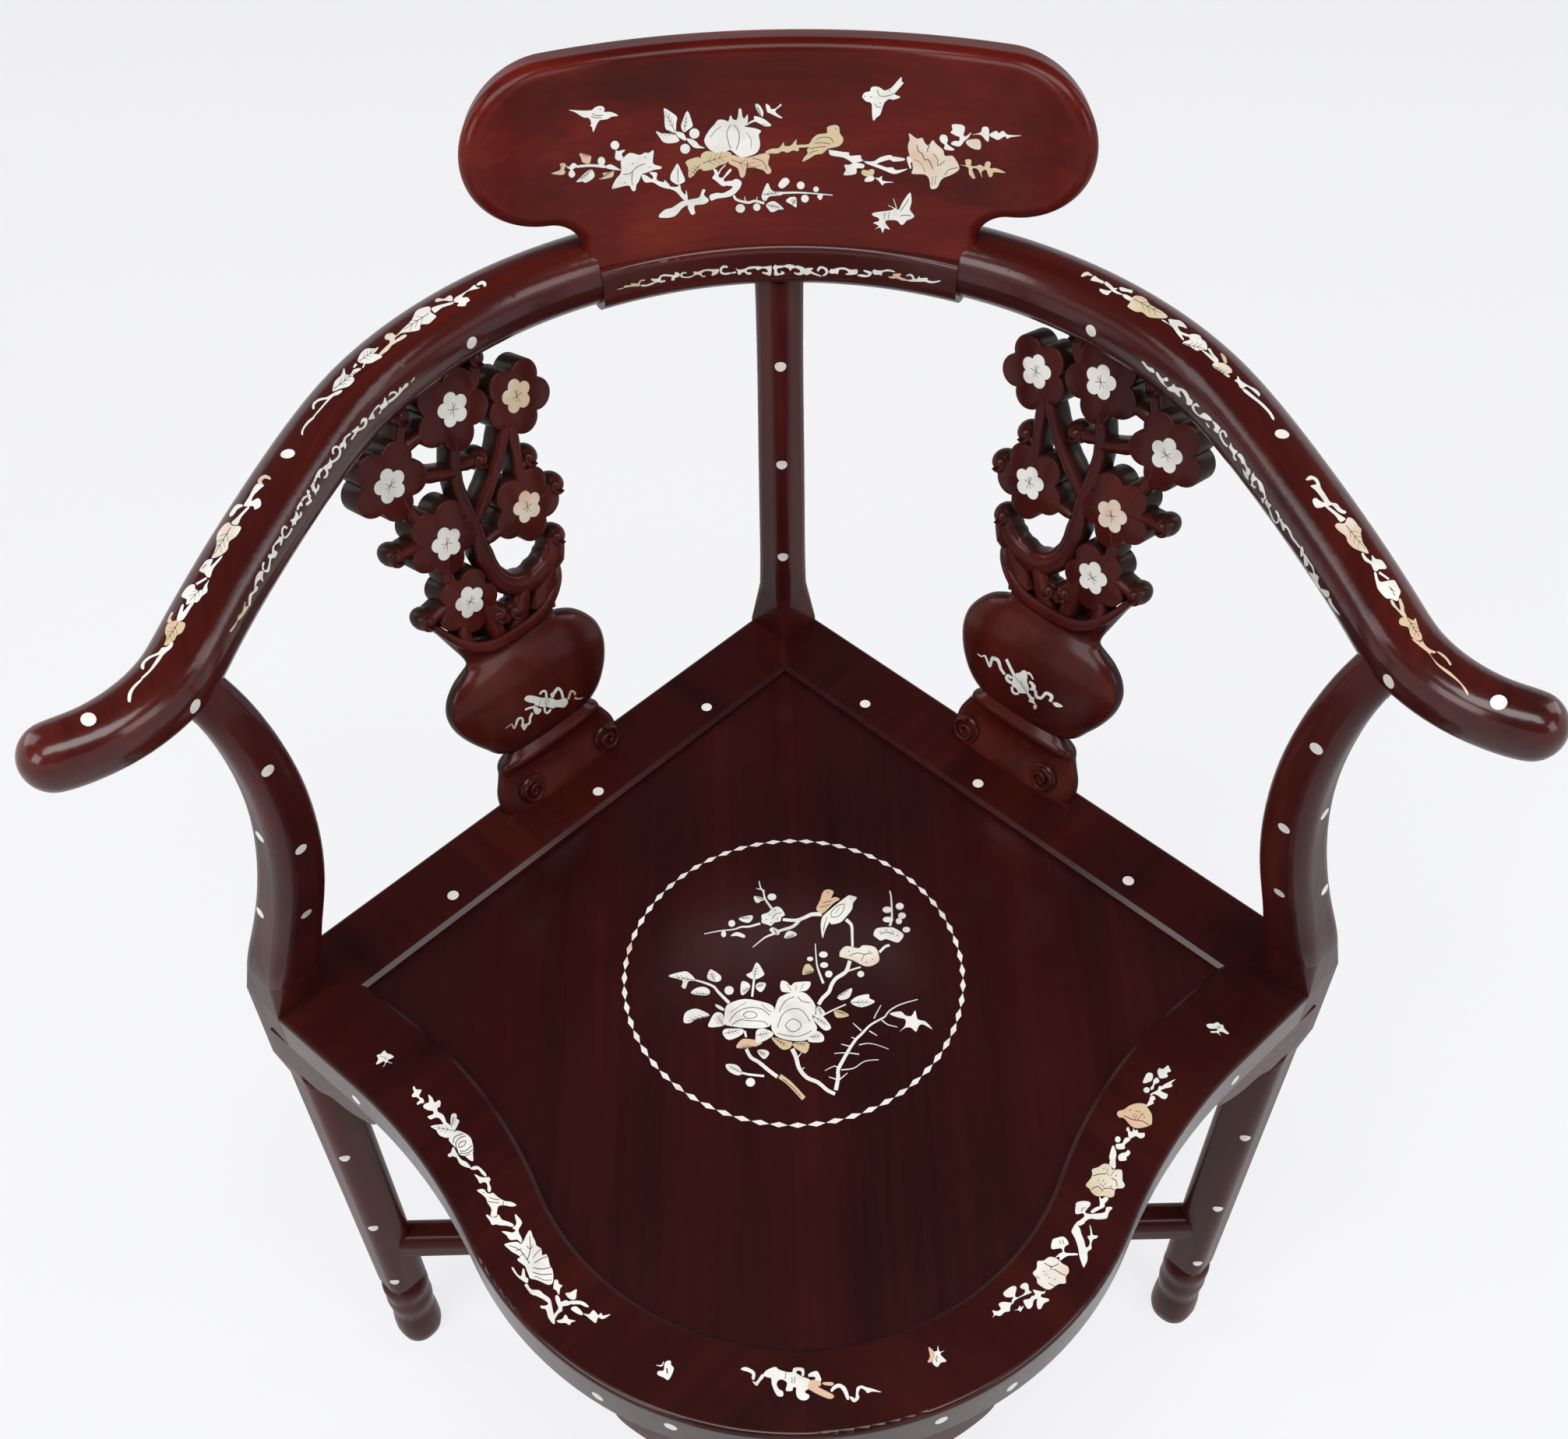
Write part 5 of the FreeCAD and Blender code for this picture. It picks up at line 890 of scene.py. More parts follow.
# The medallion on the seat: plum blossom, a pair of birds, peonies, leaves and a thorny plant
MEDALLION = Drawing((850, 1120), FIFTH, """
twig 6 16 622,58 632,100 650,125 660,170 690,215 705,235
twig 3 6 605,105 635,112
twig 3 6 660,118 640,120
leaf 0 660,178 645,165 590,155 600,192 620,197 635,185
bud 28 22 705,160
plate 640,300 640,275 680,260 700,240 735,222 765,235 788,275 765,290 760,315 720,325 700,345 670,335 \
  640,325
line 4 705,300 730,270 768,262
dots 4 690,275 725,245 670,305 740,300 700,325
twig 14 5 630,330 560,350 510,352 460,368 370,378 270,397
leaf 0 495,295 570,278 582,295 565,320 545,325 510,315
bud 22 22 447,330
bud 16 20 395,398
plate 440,410 480,385 530,405 525,422 480,410
twig 18 26 775,305 860,310 920,290 960,272 1025,270
twig 22 5 880,310 840,350 760,375 720,395 670,415 640,435 582,483
leaf 0 740,405 755,380 710,355 690,375
leaf 0 785,425 800,385 830,378 865,398 845,415
plate 0.8 1100,125 1070,112 1040,120 1025,145 1015,180 1000,210 990,240 1020,265 1045,255 1100,200 1140,175 \
  1110,160 1085,170 1095,145
dots 4 1065,132
line 4 1030,200 1060,190 1090,185
line 4 1015,225 1045,220 1075,205
plate 1250,165 1225,155 1200,150 1175,165 1110,215 1040,275 1025,300 1018,350 1030,425 1045,380 1075,320 \
  1085,335 1140,325 1170,300 1218,240 1225,200
dots 4 1210,172
line 4 1170,205 1130,215 1085,260 1090,290
line 4 1170,205 1165,245 1130,285 1090,290
line 4 1060,290 1045,330 1035,380
line 3 1140,230 1110,265
twig 22 14 1180,305 1215,340 1220,400 1222,480
plate 1358,405 1365,375 1390,358 1470,355 1500,365 1540,390 1550,410 1530,440 1505,452 1440,430 1405,440 \
  1380,425
line 4 1400,400 1440,385 1490,400
dots 4 1400,385 1440,372 1480,380 1510,410
bud 25 18 1568,370
twig 5 16 1460,120 1470,160 1475,290 1462,345
bud 26 22 1525,220
bud 30 20 1445,242
bud 25 20 1540,280
bud 34 18 1450,305
bud 20 20 1520,315
twig 16 16 1395,515 1430,480 1460,470
plate 0.4 1140,530 1145,505 1185,475 1260,490 1290,470 1370,485 1395,560 1370,590 1330,605 1290,600 1220,565 \
  1145,545
line 4 1200,540 1250,520 1300,530
line 4 1280,570 1300,530 1350,520
dots 4 1200,510 1330,510 1350,560 1310,580
twig 24 24 1205,570 1180,640 1120,680 1090,720 1070,770 1030,810 1005,850
twig 10 10 1150,650 1240,620 1275,610
bud 22 20 1275,655
bud 24 22 1070,655
twig 5 16 983,460 990,560 1000,620 1035,715
bud 28 20 1035,530
bud 20 14 950,558
bud 26 18 1040,597
leaf 0.9 975,635 945,592 915,600 900,655 930,655
plate 0.1 400,930 405,880 430,845 530,815 650,835 710,860 720,900 690,990 560,1002 420,985 395,965
line 4 520,918 545,898 585,898 610,918 585,938 545,938 520,918
line 4 430,960 480,900 560,870 640,880 690,920
line 4 450,980 500,950 560,955 650,960 680,985
line 3 440,900 500,860 540,835
line 3 640,850 670,880 700,900
plate 0.1 700,990 720,900 735,840 760,800 840,770 880,770 930,785 985,860 975,950 995,1000 970,1050 920,1080 \
  860,1085 790,1075 730,1050
line 4 790,985 820,950 860,948 894,985 860,1022 820,1020 790,985
line 4 740,1000 770,920 830,880 900,890 950,960
line 4 750,900 790,830 850,800
line 4 950,840 900,830 870,800
line 4 740,1035 800,1050 880,1055 960,1020
plate 760,750 765,700 800,705 825,730 850,710 890,705 950,705 945,740 910,765 790,772
line 3 800,720 830,760
line 3 860,725 860,760
line 3 910,715 890,755
leaf 0 395,985 300,995 310,950 340,905 380,905 400,940
plate 340,850 370,858 400,880 390,890 355,872
leaf 0 390,1040 400,1010 450,1005 520,1010 510,1045 430,1078
leaf 0 600,1050 610,1015 650,1005 710,1030 700,1060 610,1100
leaf 0.9 600,1120 480,1130 500,1085 540,1070 640,1090
leaf 0.7 710,1060 800,1085 835,1095 820,1130 770,1138 715,1085
leaf 0.9 840,1100 900,1088 945,1105 920,1165 850,1125
leaf 0 965,920 1010,915 1050,945 1085,1000 1040,1015 975,950
leaf 0 940,1060 990,1020 1035,1050 1030,1090 945,1090
leaf 0 1000,860 1045,900 1030,930 990,915
leaf 0 215,695 170,645 130,640 40,668 130,695 125,735 150,748 170,700
twig 10 20 215,695 270,710 330,735 360,770 430,840
leaf 0 300,785 305,760 270,738 220,745 185,778 260,792
leaf 0 340,705 375,695 375,665 325,630 305,630 290,680
bud 30 28 430,760
twig 14 14 578,800 590,690
leaf 0 590,690 540,660 575,640 608,580 650,640 650,665
leaf 0 565,740 550,710 510,705 505,780 530,785
leaf 0 600,740 620,710 665,715 655,750 630,770
leaf 0 305,920 230,880 180,885 145,910 140,965 180,968 220,945
leaf 0 1125,805 1150,780 1215,745 1215,775 1195,810 1150,822
leaf 0 1210,838 1250,800 1325,785 1330,810 1365,835 1280,868
twig 10 8 1040,915 1100,885 1180,850
leaf 0.9 1105,890 1150,890 1200,920 1150,935 1115,930
twig 26 20 1115,1400 1130,1320 1130,1270 1160,1210 1200,1140
twig 20 10 1200,1140 1240,1080 1290,1030 1340,980 1430,930
twig 10 5 1430,930 1460,890 1530,850 1640,818
twig 6 3 1265,1110 1320,1100 1380,1110 1455,1138
twig 7 4 1150,1270 1230,1260 1300,1215 1390,1205
twig 4 8 1045,1275 1110,1245 1130,1270
twig 4 8 1070,1315 1115,1330
twig 4 9 1190,1290 1130,1340
twig 4 8 1150,1105 1210,1120
twig 4 7 1105,1165 1180,1160 1265,1170
twig 4 8 1225,970 1280,1020
twig 4 8 1215,1060 1250,1075
twig 4 8 1380,1050 1330,1020
twig 4 8 1405,855 1380,900 1360,940
twig 4 8 1510,995 1450,980 1410,950
plate 0.1 1460,910 1530,895 1560,920 1600,925 1625,890 1640,945 1690,960 1735,1010 1680,980 1650,985 \
  1630,1025 1600,1000 1560,1000 1525,1025 1560,985 1560,945 1520,935
twig 22 24 540,1135 570,1190 620,1220 680,1270 740,1315
twig 30 30 0.8 755,1310 810,1350 860,1400 910,1455
line 4 775,1330 830,1375 890,1440
leaf 0 610,1150 650,1140 685,1155 680,1180 650,1200
twig 14 14 655,1310 560,1300 515,1290
leaf 0 515,1290 480,1240 410,1235 425,1275 480,1305
bud 30 28 567,1350
twig 28 22 835,1135 860,1190 880,1260 930,1320 1000,1350 1060,1400 1110,1425
twig 4 9 895,1160 870,1190
twig 4 9 915,1255 890,1270
twig 14 14 530,1020 540,1060
""")

# The emblems on the vases: a tied scroll and a tied sword
VASE_LEFT = Drawing((640, 870), TENTH, """
plate 0.3 335,290 350,245 400,230 470,240 560,262 680,265 740,290 800,280 840,262 885,285 885,335 840,385 \
  790,382 740,380 690,398 640,380 590,375 555,380 520,365 470,360 455,330 400,322
twig 24 28 530,215 560,180 600,175 612,215 612,265
twig 40 30 690,225 720,190 760,140 795,165 815,210 825,265
bud 26 34 692,228
twig 26 26 0.7 895,280 915,215 935,175 975,190 980,225
twig 30 6 0.9 975,262 1030,275 1085,258
twig 22 28 340,415 400,390 470,375
plate 445,400 460,380 500,378 505,400 530,395 550,415 520,465 480,470 455,440
twig 26 26 590,380 598,440 630,455 670,410
twig 30 26 435,455 405,520 400,580 370,605
plate 0.4 290,600 320,605 375,590 360,640 330,680 305,655 290,625
twig 26 26 0.2 310,610 310,540 290,520 250,535 225,600
twig 26 5 0.9 225,600 200,655 180,620 165,600 90,655
line 5 545,270 520,350
line 6 615,270 600,320 620,370
line 6 650,270 625,350
""")

VASE_RIGHT = Drawing((1240, 830), TENTH, """
plate 0.1 600,385 640,350 700,335 720,312 760,310 785,340 790,400 785,450 800,500 810,560 790,600 700,600 \
  670,580 640,535 600,515 590,480 600,440
twig 36 36 520,165 560,250 620,370
line 5 620,375 700,480 770,590
line 5 700,440 740,510 790,590
twig 12 38 150,95 200,130 245,120 275,190 310,260 325,200 340,145
twig 50 30 0.1 330,150 400,170 430,220 450,290 500,360
twig 36 36 590,470 540,440 520,390 545,375 590,410
twig 30 30 590,520 600,580 640,610 680,600
twig 32 14 790,340 830,360 865,425
twig 26 50 815,455 850,480 880,530
plate 812,555 850,520 890,510 895,570 850,565
twig 36 44 895,570 905,640 960,665 1000,630 1030,600 1080,620 1105,650 1080,710
plate 1115,725 1180,725 1245,775 1160,778
plate 780,600 810,600 850,650 880,660 875,700 895,740 860,730 800,700 820,680
bud 24 34 0.6 890,775
""")

# The scroll along the inner edge of the middle rail
MIDDLE_LEFT = Drawing((780, 330), NINTH, """
plate 0.6 105,372 185,355 200,330 265,325 275,305 350,305 375,270 425,262 425,275 385,280 372,320 380,335 \
  310,340 250,345 200,355 150,372
plate 0.1 390,320 450,320 505,300 540,285 510,270 505,250 580,250 610,215 670,200 770,208 780,175 830,190 \
  825,225 780,240 770,265 745,272 735,255 745,232 690,222 630,225 615,250 620,275 660,268 665,282 620,295 \
  590,290 545,300 500,325 430,340 395,338
plate 0.45 838,205 860,180 905,175 908,188 875,192 862,215 900,230 960,222 1000,195 990,170 1050,170 \
  1100,150 1160,140 1230,142 1280,140 1285,165 1260,195 1215,215 1200,205 1210,170 1150,160 1110,170 \
  1085,195 1105,220 1130,215 1125,228 1095,228 1060,205 1020,205 960,235 900,242 850,232
plate 1295,150 1310,115 1340,98 1385,105 1385,125 1350,122 1325,140 1320,165 1350,185 1420,178 1418,195 \
  1360,205 1310,192
plate 0.3 1430,180 1480,168 1478,185 1435,190
plate 1478,130 1520,148 1590,135 1630,115 1700,108 1780,112 1782,130 1730,152 1710,132 1650,138 1610,150 \
  1612,175 1660,180 1655,198 1615,202 1580,175 1545,185 1530,205 1505,195 1500,160
plate 1790,115 1850,108 1890,102 1895,130 1885,210 1840,205 1790,185 1790,172 1830,178 1855,165 1830,135 \
  1795,130
""")

MIDDLE_RIGHT = Drawing((990, 330), NINTH, """
plate 20,120 50,88 65,100 140,100 138,120 80,130 65,150 80,185 110,190 115,165 150,175 150,195 110,205 \
  40,210 35,150
plate 145,100 210,85 280,105 278,125 240,135 220,160 200,130 150,115
plate 285,125 300,98 390,130 375,190 340,208 300,205 270,190 268,172 300,185 335,175 330,150
plate 375,190 395,135 470,125 485,135 465,165 575,215 570,225 500,205 450,190 420,208
plate 530,150 550,115 590,108 640,130 660,170 640,205 600,222 598,208 630,180 620,150 590,130 560,145 \
  545,170
plate 670,170 690,140 720,140 780,125 850,122 910,145 990,145 1000,165 990,195 930,205 870,205 862,190 \
  890,190 885,165 850,145 790,145 780,170 765,200 750,190 690,190
plate 1000,205 1050,200 1110,210 1120,190 1070,165 1075,150 1120,160 1160,175 1160,200 1130,225 1080,232 \
  1010,220
plate 0.35 1170,160 1200,145 1220,155 1290,155 1350,142 1420,160 1425,175 1350,165 1290,175 1275,215 \
  1255,205 1190,200
plate 0.6 1360,225 1400,225 1415,195 1490,190 1500,205 1490,230 1570,260 1568,275 1500,265 1450,245 1400,248 \
  1360,235
plate 0.3 1560,215 1600,195 1640,210 1660,250 1690,250 1710,218 1725,245 1800,240 1815,270 1880,280 1950,270 \
  1950,282 1880,300 1820,298 1780,285 1700,285 1590,280 1585,262 1630,258 1620,225 1595,215 1570,222
""")

# The front frame: a spray down each side, two small insects and a knotted ribbon in the middle
FRONT_LEFT = Drawing((510, 1380), FIFTH, """
plate 100,85 110,75 120,95 150,97 155,105 140,140 165,155 172,180 150,185 130,195 128,180 145,165 125,145 \
  98,145 95,130 108,115
plate 168,210 175,190 205,175 200,130 225,150 240,180 265,165 278,175 275,205 258,215 262,240 295,260 \
  315,310 300,318 270,280 240,278 215,288 195,270 230,255 230,235 195,228
leaf 0 365,360 320,310 300,318 240,325 215,335 248,355 260,375 280,395 330,405
leaf 0 345,345 345,265 370,250 382,265 382,285 398,295 390,320 378,345 365,360
plate 330,415 360,375 385,360 430,375 465,400 480,430 488,480 485,505 487,555 460,545 435,525 400,512 \
  385,480 355,450
line 5 395,470 400,440 440,425 430,455 400,470
line 5 385,485 375,440 405,405 440,395
line 5 360,440 370,400 425,380
line 5 400,490 440,490 480,455
line 5 400,505 450,505 488,480
line 4 430,525 470,510
plate 355,470 365,472 385,510 410,545 440,560 462,580 470,600 430,590 400,570 382,535 355,525 335,530 \
  325,515 345,500
plate 468,605 490,590 520,590 550,615 570,640 570,655 545,640 520,610 495,612
plate 495,640 540,660 570,660 590,660 598,675 590,695 602,730 595,755 580,745 580,715 570,695 550,692 \
  530,698 515,670
plate 0.25 512,745 540,735 560,740 575,760 600,765 615,760 650,790 690,812 730,818 765,838 735,848 690,840 \
  650,845 640,885 640,905 620,915 600,905 605,870 595,845 580,825 570,795 545,770
dots 4 555,760
line 4 590,790 620,800 655,805
line 4 580,815 620,822 655,825
line 4 682,815 678,840
plate 570,905 578,900 605,915 635,918 650,900 670,930 695,940 735,955 748,970 735,978 700,970 660,968 \
  635,962 608,965 595,940
plate 0.2 755,905 765,902 800,945 790,975 778,1000 785,1025 800,1055 795,1080 770,1060 725,1062 700,1030 \
  670,1008 700,1008 740,1015 760,1000 740,985 765,960
plate 688,1092 720,1080 770,1075 800,1085 840,1010 858,1005 870,1040 885,1070 895,1100 925,1120 930,1160 \
  955,1155 970,1180 978,1220 998,1260 1000,1330 970,1350 900,1320 855,1310 845,1290 830,1255 820,1230 \
  770,1190 790,1170 740,1140 710,1115
line 5 850,1040 855,1120 835,1190
line 5 720,1098 790,1130 850,1215
line 4 870,1180 900,1140 930,1120
line 5 880,1210 930,1180 965,1170
line 5 870,1240 930,1250 990,1235
line 5 870,1270 930,1285 995,1280
line 4 880,1300 900,1300 940,1320 990,1320
line 4 760,1130 800,1120
line 4 790,1165 815,1150
line 4 830,1100 852,1120 872,1100
plate 735,1245 745,1240 770,1280 795,1295 805,1250 815,1250 825,1300 840,1310 835,1340 800,1320 765,1290
plate 818,1350 835,1345 860,1380 910,1385 940,1410 980,1440 992,1480 1000,1520 1010,1560 1010,1600 995,1595 \
  970,1560 955,1510 925,1500 920,1485 950,1485 970,1470 940,1445 890,1420 860,1410 825,1365
plate 1005,1345 1010,1320 1030,1320 1038,1345 1060,1355 1045,1375 1038,1415 1020,1385 1003,1375
plate 1015,1425 1030,1418 1045,1440 1050,1460 1080,1450 1105,1460 1105,1480 1060,1490 1060,1515 1030,1540 \
  1005,1580 995,1565 1015,1530 1035,1500 1020,1460
plate 1080,1405 1110,1400 1135,1385 1152,1380 1150,1405 1145,1440 1120,1445 1095,1430
plate 1105,1455 1185,1455 1230,1490 1210,1492 1170,1475 1115,1475
plate 1115,1500 1150,1490 1190,1530 1180,1545 1130,1520
plate 1195,1535 1230,1540 1255,1515 1270,1520 1290,1545 1310,1530 1320,1548 1370,1540 1320,1570 1290,1560 \
  1275,1595 1250,1580 1220,1555
plate 1025,1580 1060,1570 1075,1545 1090,1550 1100,1570 1145,1582 1120,1590 1105,1608 1080,1595 1040,1595
""")

FRONT_RIGHT = Drawing((1260, 1350), FIFTH, """
plate 1130,130 1140,110 1165,115 1190,95 1200,95 1210,115 1215,130 1190,140 1195,165 1150,175 1135,155
plate 1040,185 1050,165 1060,145 1080,138 1100,150 1095,185 1070,200 1038,205
plate 1105,185 1125,170 1140,185 1138,200 1110,215 1105,240 1088,248 1085,235 1100,215
bud 20 18 1060,250
plate 0.1 1085,275 1130,250 1140,225 1160,225 1180,210 1245,180 1220,205 1225,225 1200,235 1175,240 1150,255 \
  1180,270 1195,280 1185,305 1160,305 1140,290 1110,275 1090,285
plate 1085,290 1110,290 1115,310 1100,320 1105,335 1075,350 1055,355 1075,320
plate 0.6 870,405 880,385 915,375 950,350 1000,335 1050,340 1060,355 1090,400 1095,440 1090,470 1060,485 \
  1000,495 960,480 915,430 885,425
line 5 915,415 970,440 1035,450 1080,480
line 3 990,445 970,405
line 3 995,430 990,405
line 3 1000,440 1035,400
dots 4 955,380 995,385 1015,390 1035,405 1045,425
plate 930,505 935,490 945,490 955,515 970,515 975,495 985,510 1000,505 1010,525 1045,525 1045,550 1020,560 \
  990,545 960,560 945,550 940,520
bud 18 20 875,567
plate 862,600 880,595 905,590 920,560 945,555 955,570 920,600 920,625 880,630 865,620
plate 830,640 840,610 850,610 862,640 865,665 860,700 862,740 850,755 830,735 820,720 825,700 820,680
plate 878,690 880,670 900,655 925,650 940,635 955,650 945,670 930,680 930,700 890,705
plate 0.45 670,860 700,820 712,790 710,760 750,745 790,722 830,735 840,760 880,760 900,765 905,800 905,830 \
  920,860 905,880 860,885 850,930 820,940 790,930 740,930 710,910 695,885
line 5 715,800 760,790 800,788
line 5 835,815 865,835 870,870
line 5 705,890 745,868 780,900
line 5 780,885 820,880 850,890
line 3 780,870 760,850
line 3 780,870 800,845
line 3 820,800 800,770
line 3 830,800 850,770
dots 4 750,830 780,832 785,755 830,868 865,800 810,760
plate 755,930 770,950 795,935 815,950 790,980 790,1000 750,1020 715,1040 700,1030 730,1005 760,990
plate 605,1045 605,990 615,970 660,962 695,970 698,990 680,1010 665,1035 690,1045 720,1045 790,1035 800,1005 \
  830,1000 840,1010 820,1030 810,1060 800,1075 745,1080 700,1075 670,1090 655,1110 625,1120 605,1105 \
  640,1080 660,1060 650,1040
line 4 640,1030 650,1010 670,1005
plate 0.1 605,1110 630,1135 640,1170 660,1220 670,1260 690,1250 695,1220 680,1190 700,1180 695,1115 705,1140 \
  715,1180 745,1185 740,1200 715,1210 705,1240 705,1270 680,1290 680,1340 660,1385 650,1380 630,1320 \
  620,1260 600,1200 578,1160 590,1130
plate 455,1215 480,1200 530,1193 560,1235 540,1250 530,1270 540,1295 610,1298 615,1310 550,1315 505,1345 \
  500,1320 475,1325 500,1300 520,1290 510,1265 450,1270
line 4 500,1215 510,1240
line 4 520,1210 530,1240
plate 0.35 330,1425 355,1395 360,1350 400,1345 435,1322 480,1330 520,1365 555,1385 560,1420 540,1450 \
  540,1490 495,1495 440,1530 400,1520 360,1490 355,1460
line 5 405,1360 450,1385 495,1365
line 5 470,1400 505,1425 540,1440
line 4 350,1445 375,1460
line 4 430,1490 470,1510
line 3 440,1385 470,1410
line 3 450,1380 440,1410
dots 4 400,1415 415,1435 435,1455 470,1465
plate 0.25 140,1555 170,1525 205,1508 225,1520 215,1570 235,1580 270,1560 280,1535 250,1520 255,1500 \
  280,1488 300,1500 305,1535 320,1550 260,1575 215,1600 200,1625 195,1600 205,1580 160,1580
plate 0.15 270,1600 310,1590 320,1575 345,1565 330,1535 350,1535 400,1545 410,1530 405,1555 385,1560 \
  385,1580 430,1590 430,1605 400,1620 380,1655 360,1650 355,1610 360,1590 335,1600 325,1640 300,1655 \
  280,1630
plate 110,1625 140,1610 185,1615 200,1610 185,1640 180,1670 150,1675 120,1700 90,1695 70,1710 80,1690 \
  70,1665 100,1670 125,1655
plate 210,1665 235,1655 245,1635 255,1645 272,1635 262,1655 250,1672 235,1662
""")

INSECT_LEFT = Drawing((475, 1335), TWENTIETH, """
plate 0.25 155,635 200,540 212,490 180,430 190,395 260,380 310,340 345,300 385,290 415,330 450,365 530,385 \
  600,430 605,455 540,490 470,520 450,575 400,600 360,555 300,580 250,610 200,630
twig 16 8 395,600 380,650 335,700
twig 18 8 460,570 510,595 565,610
line 14 8 350,440 400,540
line 14 8 400,440 440,510
line 14 8 270,430 330,445
""")
INSECT_RIGHT = Drawing((1545, 1300), TWENTIETH, """
plate 80,340 95,310 150,297 260,295 320,265 370,262 420,300 440,320 480,320 515,350 520,400 570,460 640,530 \
  650,555 600,560 540,530 480,505 420,500 400,540 440,590 425,590 370,540 320,525 220,530 185,520 180,500 \
  200,487 330,485 360,440 340,420 250,425 160,415 100,380
line 14 10 360,350 350,410
line 14 10 400,360 385,430
line 14 10 440,340 400,420
""")
FRONT_RIBBON = Drawing((840, 1720), FIFTH, """
plate 555,190 575,180 600,182 640,205 648,230 640,262 625,250 628,225 600,208 570,200
plate 630,270 655,272 690,225 705,240 680,270 660,298 645,290
plate 700,230 720,200 775,178 800,195 850,210 885,210 895,185 940,182 962,195 960,235 945,232 945,210 \
  925,200 910,215 950,240 1000,262 990,315 970,330 970,345 995,360 985,385 950,392 920,375 910,340 910,310 \
  890,310 885,330 845,330 850,300 850,275 820,258 795,265 785,290 800,320 825,335 825,365 795,365 775,340 \
  755,290 750,250 730,245
line 4 845,212 840,255
line 4 880,245 885,260 882,280
line 4 900,240 902,260 895,282
plate 990,240 990,225 1010,212 1045,205 1065,240 1070,268 1030,270 1035,245 1010,240
plate 0.95 1002,264 1060,268 1070,295 1055,308 1150,358 1130,383 1060,358 1005,328 985,312
plate 0.95 1080,278 1120,275 1150,280 1140,298 1090,292
plate 1132,325 1150,300 1185,285 1225,305 1245,350 1250,385 1235,385 1215,340 1190,310 1160,320 1140,338
plate 0.2 1252,370 1270,370 1290,380 1295,340 1300,310 1330,297 1360,308 1390,315 1460,340 1400,335 1370,345 \
  1350,325 1325,315 1310,345 1315,380 1280,405
plate 0.1 20,225 25,205 60,200 65,160 80,140 105,140 108,165 125,185 115,220 100,250 85,262 60,245 45,240
plate 10,165 45,165 60,140 55,168 40,175
line 8 80,185 84,222
plate 1798,80 1815,75 1820,40 1830,80 1862,72 1835,95 1875,140 1840,150 1815,178 1785,148 1800,110
plate 0.95 1760,50 1797,82 1798,110 1780,145 1755,145 1770,110
line 5 1812,105 1818,125
line 5 1805,120 1815,145
""")

# Sprays and scrolls along the arms
ARM_LEFT_UPPER = Drawing((380, 350), FIFTH, """
plate 0.1 1160,75 1190,55 1215,60 1222,80 1210,92 1195,75 1170,85
plate 1060,140 1110,110 1145,80 1160,95 1180,100 1120,115 1090,130 1065,160 1100,160 1115,180 1095,195 \
  1085,215 1035,215 1045,195 1015,190 1020,165
plate 0.3 895,175 915,165 950,170 985,148 1005,160 1000,185 950,180 900,190
plate 870,230 920,210 1010,190 1000,205 940,225 895,258 880,250
leaf 0.15 865,255 860,222 820,225 770,250 740,310 665,385 700,385 790,370 800,335 850,330 885,300 900,280
plate 0.45 570,415 585,395 620,390 640,405 665,385 675,390 640,415 635,435 690,400 712,405 690,425 620,465 \
  590,500 545,530 535,520 580,475 600,455 600,435 575,430
leaf 0 400,575 410,530 450,490 505,490 530,480 510,510 500,520 545,530 550,545 520,562 470,585
twig 10 16 370,610 388,588
twig 10 8 428,612 445,578
leaf 0.2 235,755 250,700 290,660 305,620 312,620 320,655 350,655 370,625 410,615 415,625 365,660 375,690 \
  340,730 290,745 245,762
plate 0.1 105,875 110,840 150,810 200,800 240,775 290,755 295,765 270,785 240,795 205,830 115,930 110,925 \
  190,830 200,815 150,825 120,850 120,875
plate 35,1040 38,1010 70,960 110,928 118,935 80,970 50,1010 45,1042
plate 0.4 735,705 760,670 755,690
plate 0.4 595,795 605,770 635,762 655,775 665,735 680,745 700,715 720,710 715,730 690,750 665,780 630,815 \
  595,838 590,825 620,805 640,785 630,775 610,780
plate 0.3 545,850 560,835 570,800 582,830 590,845 560,875 550,880 540,905 530,905 545,880 535,865
plate 0.3 465,945 480,910 500,880 520,855 540,850 510,880 495,900 505,935 485,940
plate 0.3 415,975 420,945 440,932 458,945 450,985 420,1010 395,1020 380,1045 360,1072 352,1068 375,1030 \
  355,1025 375,1005 400,985 405,1000 430,990 440,965 430,955
plate 0.2 300,1090 310,1060 345,1030 350,1040 320,1065 315,1095
""")

